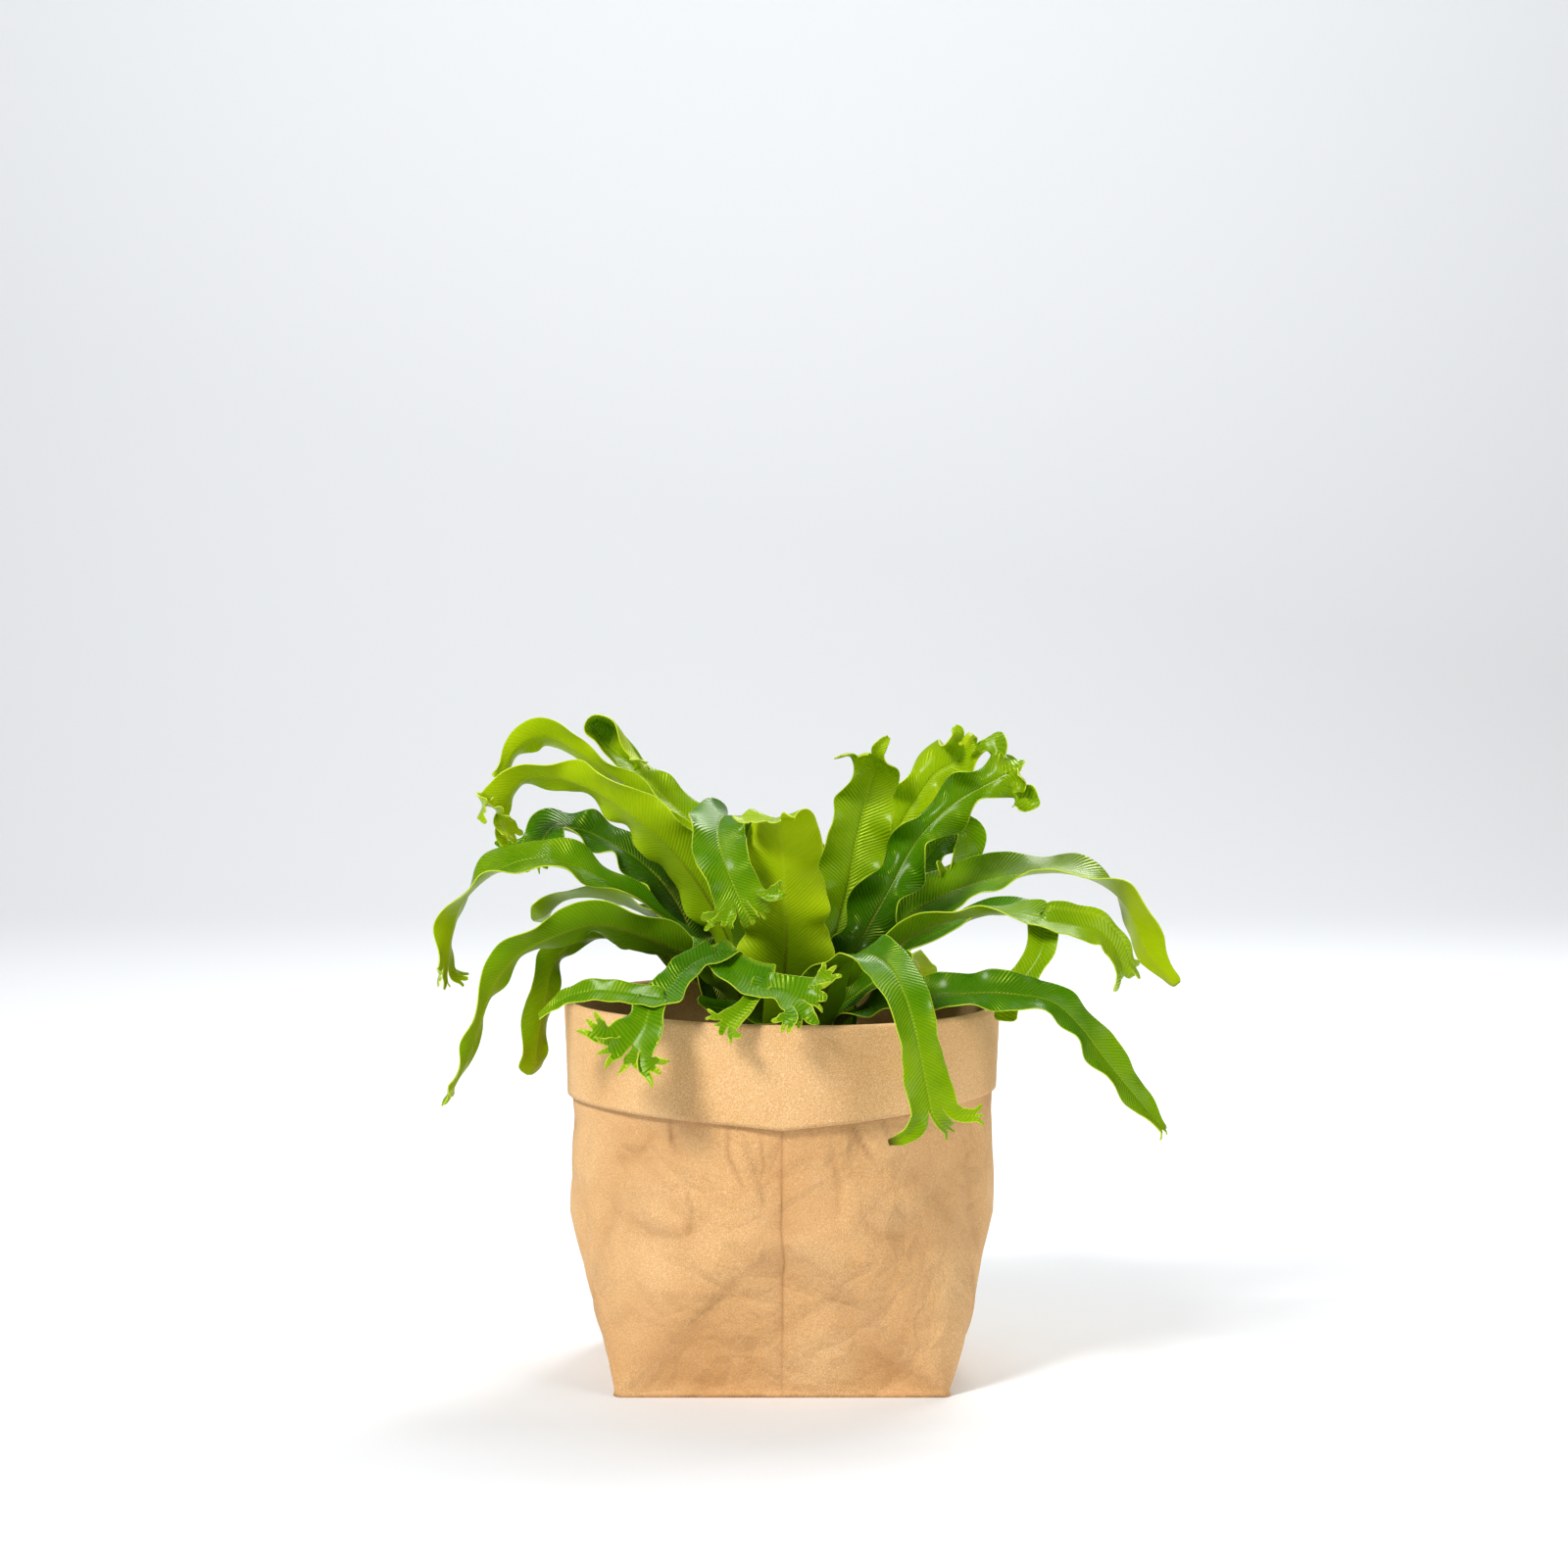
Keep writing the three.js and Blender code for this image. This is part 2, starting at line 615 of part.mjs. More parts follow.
        faces: [[0, -0.7, 0.7], [-0.4, -0.9, 0.2]],
      },
    ],
  },
  right_low: {
    colour: MID,
    from: [310, 15],
    rib: [
      [26, -26, -10], [42, -44, 1], [60, -54, 5], [82, -60, 8], [104, -62, 8], [122, -60, 4],
      [135, -57, -8], [144, -54, -20], [157, -52, -36], [172, -50, -54],
    ],
    half: 10,
    faces: [[0, -0.3, 1], [0, -0.6, 0.8], [0.3, -0.8, 0.6], [0.5, -0.8, 0.4]],
  },
  front_right: {
    colour: MID,
    from: [288, 15],
    rib: [
      [16, -40, -4], [24, -60, 18], [35, -78, 28], [46, -95, 25], [53, -107, 14], [58, -113, -2],
      [62, -115, -21], [65, -115, -36], [62, -115, -48],
    ],
    half: 11,
    shares: [0.2, 0.6, 1, 1, 1, 0.95, 0.8, 0.7, 0.5],
    faces: [[0, 0.2, 1], [0, -0.1, 1], [0.2, -0.9, 0.4], [0.3, -1, 0.1]],
  },
  front_small: {
    colour: DARK,
    from: [267, 15],
    rib: [[0, -36, -18], [-8, -54, -7], [-20, -66, 0], [-33, -74, 4]],
    half: 8,
    faces: [[0, -0.2, 1], [0, -0.5, 0.9]],
  },
  front_right_small: {
    colour: DARK,
    from: [302, 45],
    rib: [[20, -24, -8], [34, -34, 5], [46, -40, 14], [56, -46, 20]],
    half: 7,
    faces: [[0, -0.5, 0.9], [0, -0.7, 0.7]],
  },
  young_back: {
    colour: BRIGHT,
    from: [80, 68],
    rib: [[6, 8, 2], [7, 12, 22]],
    half: 4,
    faces: [[0, -1, 0.3], [0, -1, 0]],
  },
  young_front: {
    colour: BRIGHT,
    from: [320, 68],
    rib: [[11, -6, -4], [14, -10, 14]],
    half: 4,
    faces: [[0, 1, 0.3], [0, 1, 0]],
  },
};

for (const [name, { colour, ...shape }] of Object.entries(FRONDS)) {
  place("frond_" + name, frond(shape), leaf(colour));
}

export default fern;
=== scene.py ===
# %% [markdown]
# # A crested bird's-nest fern in a paper bag
# The plant stands in a black nursery pot, and the pot stands in a bag of washable kraft paper whose top
# is folded down as a cuff. The CAD frame gives every size and place, so this notebook starts by loading
# it and keeps its box. Everything below is in metres, with +Z up and -Y to the front.

# %% The CAD frame
import collections
import json
import math
import random

import bmesh
import bpy
from mathutils import Matrix, Quaternion, Vector, noise

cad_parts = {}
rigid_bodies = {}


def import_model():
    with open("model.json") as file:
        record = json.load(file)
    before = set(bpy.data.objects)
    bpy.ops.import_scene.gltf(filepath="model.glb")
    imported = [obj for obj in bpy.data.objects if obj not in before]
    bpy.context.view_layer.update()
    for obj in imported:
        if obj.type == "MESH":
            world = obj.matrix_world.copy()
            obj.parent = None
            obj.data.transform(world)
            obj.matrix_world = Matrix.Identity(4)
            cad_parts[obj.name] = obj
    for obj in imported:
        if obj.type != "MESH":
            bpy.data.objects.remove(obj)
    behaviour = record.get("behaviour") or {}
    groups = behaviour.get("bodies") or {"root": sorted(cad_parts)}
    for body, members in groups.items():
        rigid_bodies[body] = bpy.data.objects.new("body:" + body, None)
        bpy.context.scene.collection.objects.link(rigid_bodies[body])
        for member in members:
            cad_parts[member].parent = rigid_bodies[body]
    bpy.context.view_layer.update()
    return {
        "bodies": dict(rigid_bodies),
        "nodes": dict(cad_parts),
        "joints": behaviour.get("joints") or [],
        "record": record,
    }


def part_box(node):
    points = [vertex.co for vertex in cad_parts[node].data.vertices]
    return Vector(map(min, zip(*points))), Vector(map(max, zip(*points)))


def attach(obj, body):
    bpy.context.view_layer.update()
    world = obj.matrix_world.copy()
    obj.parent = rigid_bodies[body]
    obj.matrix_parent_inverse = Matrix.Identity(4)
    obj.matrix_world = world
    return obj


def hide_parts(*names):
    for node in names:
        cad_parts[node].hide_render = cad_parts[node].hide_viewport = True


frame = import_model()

MM = 0.001
print("CAD nodes:", len(frame["nodes"]))

# %% [markdown]
# ## The camera
# A product photographer puts a long lens a little higher than the plant and looks slightly down, so
# that the mouth of the bag reads as a thin ellipse and the fronds keep their true proportions.

# %% Camera
CAMERA_PLACE = (0.0009, -1.8, 0.376)
LOOKING_DOWN = 3.4  # degrees
LENS = 90  # millimetres, on a sensor 36 mm wide


def put(name, data, place=(0, 0, 0), turn=(0, 0, 0)):
    """A new object in the scene."""
    thing = bpy.data.objects.new(name, data)
    thing.location = place
    thing.rotation_euler = turn
    bpy.context.scene.collection.objects.link(thing)
    return thing


lens = bpy.data.cameras.new("camera")
lens.lens = LENS
lens.sensor_width = 36
turn = (math.radians(90 - LOOKING_DOWN), 0, 0)
bpy.context.scene.camera = put("camera", lens, CAMERA_PLACE, turn)
print("camera at", CAMERA_PLACE, "with a", LENS, "mm lens")

# %% [markdown]
# ## Light
# A large soft lamp high on the left gives the broad glints on the glossy leaves. A weaker one fills the
# right, one behind makes thin leaves glow at their margins, and the last lights only the backdrop. The
# room adds a little white from everywhere, which keeps the shadows open.

# %% Studio
ROOM_COLOUR = "#f4f5f5"
ROOM_LIGHT = 0.22
PLANT_MIDDLE = (0, 0, 0.17)
LAMPS = [
    # (name, place, width in metres, watts, what it is aimed at)
    ("key", (-1.3, -1.5, 1.9), 0.7, 62, PLANT_MIDDLE),
    ("fill", (1.7, -1.4, 1.0), 1.3, 16, PLANT_MIDDLE),
    ("back", (0.6, 1.3, 1.7), 0.9, 24, PLANT_MIDDLE),
    ("backdrop", (0, 1.2, 2.6), 2.0, 42, (0, 3.2, 0.6)),
]


def linear(colour):
    """An sRGB hex colour as the linear red, green, blue and alpha that shaders want."""
    parts = [int(colour[i : i + 2], 16) / 255 for i in (1, 3, 5)]
    return [c / 12.92 if c <= 0.04045 else ((c + 0.055) / 1.055) ** 2.4 for c in parts] + [1.0]


for name, place, width, watts, target in LAMPS:
    light = bpy.data.lights.new(name, "AREA")
    light.shape = "DISK"
    light.size = width
    light.energy = watts
    aim = (Vector(target) - Vector(place)).to_track_quat("-Z", "Y")
    put(name, light, place, aim.to_euler())

world = bpy.data.worlds.new("studio")
world.use_nodes = True
background = world.node_tree.nodes["Background"]
background.inputs["Color"].default_value = linear(ROOM_COLOUR)
background.inputs["Strength"].default_value = ROOM_LIGHT
bpy.context.scene.world = world
bpy.context.scene.view_settings.view_transform = "Standard"
print("lamps:", len(LAMPS))

# %% [markdown]
# ## Nodes
# Every finish is a small node tree. `add` makes one node, gives it its settings and its inputs, and
# returns the output that the next node wants, so that a material reads like a recipe.

# %% Node helper
def set_inputs(tree, node, inputs):
    """Links the inputs that are given a socket and sets the others. A hex colour is made linear."""
    for name, value in inputs.items():
        if isinstance(value, bpy.types.NodeSocket):
            tree.links.new(value, node.inputs[name])
        else:
            node.inputs[name].default_value = linear(value) if isinstance(value, str) else value


def add(tree, kind, settings, inputs, out=0, stops=()):
    """One new node with its settings, its inputs and, on a ramp, its (place, colour) stops."""
    node = tree.nodes.new("ShaderNode" + kind)
    for name, value in settings.items():
        setattr(node, name, value)
    for number, (place, colour) in enumerate(stops):
        if number >= len(node.color_ramp.elements):
            node.color_ramp.elements.new(place)
        node.color_ramp.elements[number].position = place
        node.color_ramp.elements[number].color = linear(colour)
    set_inputs(tree, node, inputs)
    return node.outputs[out]


def new_material(name):
    """A material, its tree, its shader, and the place of each point in metres."""
    material = bpy.data.materials.new(name)
    material.use_nodes = True
    tree = material.node_tree
    place = add(tree, "TexCoord", {}, {}, "Object")
    print("material:", name)
    return material, tree, tree.nodes["Principled BSDF"], place


# %% [markdown]
# ## From a bmesh to a piece
# Every form is built in a bmesh and stays at the origin with its place in its mesh. `from_bmesh` turns
# it into a smooth object with its materials. `finished` also ties it to the CAD: the piece rides on the
# root body and stands for its CAD node, which it hides.

# %% Piece helpers
def from_bmesh(name, bm, materials):
    mesh = bpy.data.meshes.new(name)
    bm.to_mesh(mesh)
    bm.free()
    for face in mesh.polygons:
        face.use_smooth = True
    for material in materials:
        mesh.materials.append(material)
    print(name, "has", len(mesh.polygons), "faces before its modifiers")
    return put(name, mesh)


def finished(name, bm, materials, node):
    """One piece of the visual model, made from a bmesh."""
    piece = from_bmesh(name, bm, materials)
    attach(piece, "root")
    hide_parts(node)
    return piece


def thicken(piece, thickness, offset):
    """Gives a sheet its thickness: offset 0 to both sides of it, -1 below it."""
    thick = piece.modifiers.new("thickness", "SOLIDIFY")
    thick.thickness = thickness
    thick.offset = offset
    return thick


# %% [markdown]
# ## Floor and backdrop
# A photographer hangs one wide sheet of paper: it lies forward as the floor and rises behind on an
# arc, so no horizon line shows. It is a grid whose far rows are lifted. The paper is matte and near
# white, so the eye gets a soft shadow under the bag and nothing else.

# %% Cove
COVE_HALF = 4.0
COVE_RADIUS = 1.2
COVE_START = 2.2
COVE_STEEPNESS = 3  # above the arc the rows stand this much further apart

studio_paper, tree, shader, _ = new_material("studio_paper")
set_inputs(tree, shader, {"Base Color": "#eceef0", "Roughness": 0.6})

cove_bm = bmesh.new()
bmesh.ops.create_grid(cove_bm, x_segments=8, y_segments=64, size=COVE_HALF)
for vert in cove_bm.verts:
    beyond = vert.co.y - COVE_START
    if beyond > 0:
        turn = min(beyond / COVE_RADIUS, math.pi / 2)
        above_arc = max(beyond - COVE_RADIUS * math.pi / 2, 0) * COVE_STEEPNESS
        vert.co.y = COVE_START + COVE_RADIUS * math.sin(turn)
        vert.co.z = COVE_RADIUS * (1 - math.cos(turn)) + above_arc
from_bmesh("cove", cove_bm, [studio_paper])

# %% [markdown]
# ## Washable kraft paper
# Washable paper is cellulose felted with latex, pressed and tumbled. Its short fibres take the dye
# unevenly. Two noises make the tan: one at fibre size gives the eye the felted speckle, one as wide as
# a hand gives the uneven dye. Dents and folds get painted shade: they are darkened in the colour, as
# the shade that falls in them, and ridges keep the paler tan. High roughness keeps it matte.

# %% Kraft paper
FIBRE = 0.55 * MM
BLOTCH = 45 * MM
TOOTH = 0.15 * MM  # how high the fibres stand
PAPER_ROUGHNESS = 0.82

paper, tree, shader, place = new_material("washable_kraft_paper")
noise_at = {"Vector": place, "Scale": 1 / FIBRE, "Detail": 3.0, "Roughness": 0.7}
speckle = add(tree, "TexNoise", {}, noise_at)
noise_at = {"Vector": place, "Scale": 1 / BLOTCH, "Detail": 2.0, "Roughness": 0.5}
blotch = add(tree, "TexNoise", {}, noise_at)
blotch_colour = blotch.node.outputs["Color"]
dyed = [(0.35, "#deab6c"), (0.65, "#eac088")]
felted = [(0.38, "#c28a50"), (0.5, "#deab6c"), (0.64, "#f6dcb0")]
broad = add(tree, "ValToRGB", {}, {"Fac": blotch}, stops=dyed)
fine = add(tree, "ValToRGB", {}, {"Fac": speckle}, stops=felted)
tan = add(tree, "Mix", {"data_type": "RGBA"}, {0: 0.6, 6: broad, 7: fine}, 2)
# Painted shade: dents and crease lines are darkened in the colour, where shade falls in them; ridges
# keep the paler tan.
for attribute, strength, colour in (("dent_shade", 0.6, "#c28a50"), ("crease_shade", 0.9, "#7d4f26")):
    amount = add(tree, "Attribute", {"attribute_name": attribute}, {}, "Fac")
    amount = add(tree, "Math", {"operation": "MULTIPLY"}, {0: amount, 1: strength})
    tan = add(tree, "Mix", {"data_type": "RGBA"}, {0: amount, 6: tan, 7: colour}, 2)
set_inputs(tree, shader, {"Base Color": tan, "Roughness": PAPER_ROUGHNESS})
raised = {"Height": speckle, "Strength": 0.35, "Distance": TOOTH}
tooth = add(tree, "Bump", {}, raised)

# %% [markdown]
# Crushed paper is made of flat facets that meet in straight ridges. The distance to the nearest edge of
# a cell is just such a height, and three sizes of cell give large facets with small ones among them.
# Only the wall is crushed: the cuff was folded down last and is still smooth.

# %% Crumples
FACETS = [(52 * MM, 1.0), (21 * MM, 0.45), (9 * MM, 0.12)]  # (size, share of the depth)
FACET_DEPTH = 6 * MM
WAVER = 0.006  # a little of the broad noise bends the ridges

bending = {0: WAVER, 6: place, 7: blotch_colour}
bent = add(tree, "Mix", {"data_type": "RGBA", "blend_type": "LINEAR_LIGHT"}, bending, 2)
facets = 0.0
for size, share in FACETS:
    cells = {"Vector": bent, "Scale": 1 / size}
    edge = add(tree, "TexVoronoi", {"feature": "DISTANCE_TO_EDGE"}, cells)
    edge = add(tree, "Math", {"operation": "MULTIPLY"}, {0: edge, 1: share})
    facets = add(tree, "Math", {"operation": "ADD"}, {0: edge, 1: facets})
crumple = add(tree, "Attribute", {"attribute_name": "crumple"}, {}, "Fac")
height = add(tree, "Math", {"operation": "MULTIPLY"}, {0: facets, 1: crumple})
raised = {"Height": height, "Strength": 1.0, "Distance": FACET_DEPTH, "Normal": tooth}
set_inputs(tree, shader, {"Normal": add(tree, "Bump", {}, raised)})
print("facets of", [round(size / MM) for size, share in FACETS], "mm")

# %% [markdown]
# ## The bag
# A flat-bottomed bag starts square and is rounded by what stands in it. Its section at any height is a
# square whose corners grow into a circle: the flats shrink from the base up, the corner arcs grow. The
# girth never changes, because paper does not stretch. The sheet is one grid, wrapped round that form,
# rolled over at the rim and turned down as the cuff, then given its thickness.

# %% Bag sizes
PAPER = 0.8 * MM
CUFF_GAP = 2.6 * MM
CUFF_HEIGHT = 45 * MM
BASE_HALF = 74 * MM
WAIST = 73 * MM  # the height where the square has become round

_, bag_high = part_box("paper_bag")
RIM = bag_high.z
CUFF_OUTER = bag_high.x
WALL = CUFF_OUTER - PAPER - CUFF_GAP  # outside radius of the wall
GIRTH = 2 * math.pi * WALL / MM  # in millimetres
print("bag rim at", round(RIM, 4), "wall radius", round(WALL, 4))


def level(angle):
    """The level direction at an angle round the upright axis."""
    return Vector((math.cos(angle), math.sin(angle), 0))


def section(turn, height):
    """A point on the bag's section: turn from 0 to 1 round the girth, at a height."""
    h = min(max(height / WAIST, 0.04), 1)
    flat = BASE_HALF * (1 - h)
    arc_radius = WALL * h
    quarter, t = divmod(turn * 4 % 4, 1)
    arc = math.pi / 2 * arc_radius
    distance = t * (2 * flat + arc)
    if distance < flat:
        x, y = flat + arc_radius, distance
    elif distance < flat + arc:
        angle = (distance - flat) / arc_radius
        x, y = flat + arc_radius * math.cos(angle), flat + arc_radius * math.sin(angle)
    else:
        x, y = 2 * flat + arc - distance, flat + arc_radius
    angle = quarter * math.pi / 2
    across = x * math.cos(angle) - y * math.sin(angle)
    deep = x * math.sin(angle) + y * math.cos(angle)
    return Vector((across, deep, height))


# %% [markdown]
# Creases are what make it paper. Each one is a short path on the flat sheet, in millimetres from the
# seam and above the base, with a depth and a width. A narrow one is a sharp fold, a wide one a soft
# dent. The seam fold runs up the middle of the front and of the back, and from the base's corners two
# folds lean in to it, as they do on any bag that was once pressed flat. Both sides carry the same ones.

# %% Creases
CREASES = [
    # (path, depth, width): depth above 0 presses the paper in
    ([(0, 0), (0.4, 38), (0.3, 56), (1.3, 64), (-0.4, 78), (0.1, 92), (0, 171)], 0.55, 0.7),
    ([(0, 0), (0, 60), (0, 171)], 1.5, 10),
    ([(-74, 0), (-52, 24), (-30, 50), (-6, 70), (0, 74)], -1.2, 6),
    ([(74, 0), (50, 27), (28, 52), (8, 68), (0, 74)], -1.2, 6),
    ([(-56, 6), (-40, 30), (-22, 50)], 1.6, 14),
    ([(52, 6), (36, 32), (20, 50)], 1.4, 14),
    ([(-80, 80), (-62, 74), (-46, 74), (-36, 82)], 2.0, 5),
    ([(-82, 90), (-58, 93), (-38, 86)], -1.3, 5),
    ([(-52, 126), (-52.5, 117), (-51, 112)], 0.8, 0.8),
    ([(-24, 126), (-24, 112), (-17, 97)], 0.5, 1.0),
    ([(-18, 124), (-13, 106), (-8, 90)], -0.8, 2.4),
    ([(-10, 122), (-8, 108), (-10, 98)], 0.4, 0.9),
    ([(-44, 96), (-41, 86), (-43, 74)], 0.5, 1.2),
    ([(-60, 120), (-72, 108), (-88, 104)], 0.8, 4),
    ([(31, 126), (36, 117), (42, 108)], 0.6, 0.9),
    ([(46, 126), (52, 114)], 0.5, 0.8),
    ([(22, 112), (26, 98), (24, 84)], 0.5, 1.8),
    ([(36, 84), (46, 74), (60, 72)], 1.6, 5),
    ([(34, 90), (52, 84), (64, 82)], -1.0, 4),
    ([(60, 104), (74, 90), (92, 74)], 1.2, 6),
    ([(-98, 60), (-88, 76), (-84, 96)], 1.2, 6),
    ([(100, 110), (104, 84), (112, 60)], 1.0, 6),
    ([(-112, 0), (-104, 36), (-94, 66)], -1.2, 4),
    ([(112, 0), (106, 34), (98, 62)], -1.2, 4),
]
print("creases on each side:", len(CREASES))

# %% [markdown]
# At any place on the wall every crease is asked how near it is, and its press fades with the distance.
# Three sizes of noise add the swellings that no one could list.

# %% Relief
SHARP = 1.0  # a fold this narrow, in millimetres, gets the full line of painted shade
REACH = 4  # a crease is felt this many widths away
HALF_SHEET = 130  # and never further round than this, in millimetres
NOISE_RING = 97  # the ring on which the noise is read, in millimetres
BUMP_SIZES = (52, 34, 15)  # broad swellings, ridges and small ridges, in millimetres
UNDER_CUFF = 118  # above this the cuff presses the wall smooth


def near(path, x, z):
    """Distance from a point to a path of straight pieces, and the share of depth left near its ends."""
    best, fade = 1e9, 1.0
    for k in range(len(path) - 1):
        (x0, z0), (x1, z1) = path[k], path[k + 1]
        span = (x1 - x0) ** 2 + (z1 - z0) ** 2
        t = min(max(((x - x0) * (x1 - x0) + (z - z0) * (z1 - z0)) / span, 0), 1)
        distance = math.hypot(x - x0 - t * (x1 - x0), z - z0 - t * (z1 - z0))
        if distance < best:
            best = distance
            place = (k + t) / (len(path) - 1)
            fade = min(1, 3 * place + 0.4, 3 * (1 - place) + 0.4)
    return best, fade


def folds(across, z):
    """What the listed creases do at a place on one side: how deep they press and how much painted shade
    they lay along their lines.
    """
    pressed, line = 0.0, 0.0
    for path, depth, width in CREASES:
        distance, fade = near(path, across, z)
        if distance < REACH * width:
            share = fade * math.exp(-distance / width)
            pressed += depth * share
            line = max(line, share * min(1, SHARP / width) * min(abs(depth), 1))
    return pressed, line


def relief(turn, height):
    """How far the paper is pressed in, in metres, and how much painted crease shade it gets, at a turn
    and a height.
    """
    x = ((turn + 0.25) % 1) * GIRTH
    if x > GIRTH / 2:
        x -= GIRTH
    z = height / MM
    pressed, line = 0.0, 0.0
    for across in (x, (GIRTH / 2 - x + GIRTH / 2) % GIRTH - GIRTH / 2):
        if abs(across) < HALF_SHEET:
            deeper, darker = folds(across, z)
            pressed += deeper
            line = max(line, darker)
    angle = turn * 2 * math.pi
    place = Vector((math.cos(angle) * NOISE_RING, math.sin(angle) * NOISE_RING, z))
    broad = noise.noise(place / BUMP_SIZES[0])
    ridges = 0.5 - abs(noise.noise(place / BUMP_SIZES[1] + Vector((9, 2, 4))))
    small = 0.5 - abs(noise.noise(place / BUMP_SIZES[2]))
    pressed += 2.2 * broad + 3.4 * (ridges**2 - 0.1) + 1.6 * small**2 * max(0, broad + 0.45)
    free = 1 - 0.75 * min(max((z - UNDER_CUFF) / 8, 0), 1)
    return pressed * free * MM, line


print("a press at the front:", round(relief(0.75, 60 * MM)[0] / MM, 2), "mm")

# %% [markdown]
# The rows of the grid run from the middle of the floor, out to the base's edge, up the wall, over the
# fold and down the cuff. The columns run once round, and the two ends are welded. The cuff is folded by
# hand, so it hangs a little deeper at the two seams and its fold is not quite level.

# %% Wall
FLOOR_ROWS = 6
WALL_ROWS = 104
FOLD = (CUFF_GAP + PAPER) / 2
FOLD_LEVEL = RIM - FOLD - PAPER / 2
SETTLE = 6 * MM  # the wall stands on its lowest edge, which is not dented


def outward(point):
    return Vector((point.x, point.y, 0)).normalized()


def rim_lift(turn):
    angle = turn * 2 * math.pi
    return (0.8 * math.cos(angle - 2.6) + 0.5 * math.sin(2 * angle) - 1.1) * MM


def wall_point(share, turn):
    height = share * FOLD_LEVEL
    point = section(turn, height)
    settle = min(height / SETTLE, 1)
    point -= outward(point) * (relief(turn, height)[0] * settle + PAPER / 2)
    point.z += rim_lift(turn) * share**4 + PAPER / 2 * (1 - settle)
    return point


print("the wall reaches", round(FOLD_LEVEL, 4), "m")

# %% [markdown]
# The fold is half a circle, and the cuff below it hangs nearly free: it sways a little and is drawn in
# at the seams.

# %% Fold and cuff
FOLD_ROWS = 7
CUFF_ROWS = 22


def from_seam(turn):
    """Millimetres to the nearer of the front and the back seam."""
    return abs(((turn + 0.25) % 0.5 + 0.25) % 0.5 - 0.25) * GIRTH


def cuff_drop(turn):
    at_right = max(math.cos(turn * 2 * math.pi) - 0.3, 0)
    return CUFF_HEIGHT + (4.8 * math.exp(-from_seam(turn) / 38) - 1.6 - 4.2 * at_right) * MM


def fold_point(share, turn):
    """Out from the wall and up, on the half circle of the fold."""
    angle = share * math.pi
    pressed = relief(turn, FOLD_LEVEL)[0] * (1 - share)
    out = FOLD * (1 - math.cos(angle)) - pressed
    return out, FOLD_LEVEL - RIM + FOLD * math.sin(angle) + rim_lift(turn)


def cuff_point(share, turn):
    """Out from the wall and up, down the cuff."""
    height = FOLD_LEVEL - share * (cuff_drop(turn) - (RIM - FOLD_LEVEL))
    angle = turn * 2 * math.pi
    sway = noise.noise(Vector((math.cos(angle) * 2.2, math.sin(angle) * 2.2, 3 + share)))
    seam = math.exp(-from_seam(turn) / 7)
    out = 2 * FOLD + (0.5 * sway - 0.7 * seam - 1.5) * share * MM
    return out, height - RIM + rim_lift(turn) * (1 - share)


def bag_point(row, turn):
    if row <= FLOOR_ROWS:
        point = section(turn, 0) * max(row / FLOOR_ROWS, 0.001)
        point.z = PAPER / 2
        return point
    row -= FLOOR_ROWS
    if row <= WALL_ROWS:
        return wall_point(row / WALL_ROWS, turn)
    row -= WALL_ROWS
    if row <= FOLD_ROWS:
        out, up = fold_point(row / FOLD_ROWS, turn)
    else:
        out, up = cuff_point((row - FOLD_ROWS) / CUFF_ROWS, turn)
    wall = section(turn, RIM)
    return wall + outward(wall) * (out - PAPER / 2) + Vector((0, 0, up))


print("cuff at the front seam:", round(cuff_drop(0.75) / MM, 1), "mm deep")

# %% [markdown]
# Each point of the wall keeps three measurements for the paper's finish: how much painted shade a fold
# lays there, how far it is dented, which sets the painted shade in the dent, and whether it is crumpled
# at all.

# %% Paper bag
DENT = 4 * MM  # the scale of the painted shade in dents: it deepens as the paper is pressed in, and ridges get none
CRUMPLED_BELOW = 128  # millimetres
AROUND = 330
CROWDING = 0.72  # the columns stand closer together at the two seams, where the folds are sharp

bag_rows = FLOOR_ROWS + WALL_ROWS + FOLD_ROWS + CUFF_ROWS
bag_bm = bmesh.new()
crease_shade_layer, dent_shade_layer, crumpled = [
    bag_bm.verts.layers.float.new(key) for key in ("crease_shade", "dent_shade", "crumple")
]
bmesh.ops.create_grid(bag_bm, x_segments=AROUND, y_segments=bag_rows, size=1)
for vert in bag_bm.verts:
    turn = (vert.co.x + 1) / 2
    turn -= CROWDING * math.sin(4 * math.pi * turn) / (4 * math.pi)
    turn = (turn - 0.25) % 1
    row = round((vert.co.y + 1) / 2 * bag_rows)
    vert.co = bag_point(row, turn)
    share = (row - FLOOR_ROWS) / WALL_ROWS
    if 0 <= share <= 1:
        # painted shade for the colour: how dark the fold line is here, and how deep the shade in the
        # dent
        depth, line = relief(turn, share * FOLD_LEVEL)
        vert[crease_shade_layer] = line
        vert[dent_shade_layer] = min(max(depth / DENT + 0.3, 0), 1)
        vert[crumpled] = min(max((CRUMPLED_BELOW - vert.co.z / MM) / 10, 0), 1)
bmesh.ops.remove_doubles(bag_bm, verts=bag_bm.verts, dist=0.05 * MM)
bmesh.ops.recalc_face_normals(bag_bm, faces=bag_bm.faces)
bag = finished("washable_paper_bag", bag_bm, [paper], "paper_bag")
thicken(bag, PAPER, 0)

# %% [markdown]
# ## Black polypropylene
# Nursery pots are moulded from recycled polypropylene: black, but never quite black, and scuffed by the
# sand of the potting bench. One coarse noise does both. It greys the colour where the skin is worn, and
# it breaks the gloss there, so the eye reads cheap plastic and not lacquer.

# %% Black polypropylene
SCUFF = 9 * MM

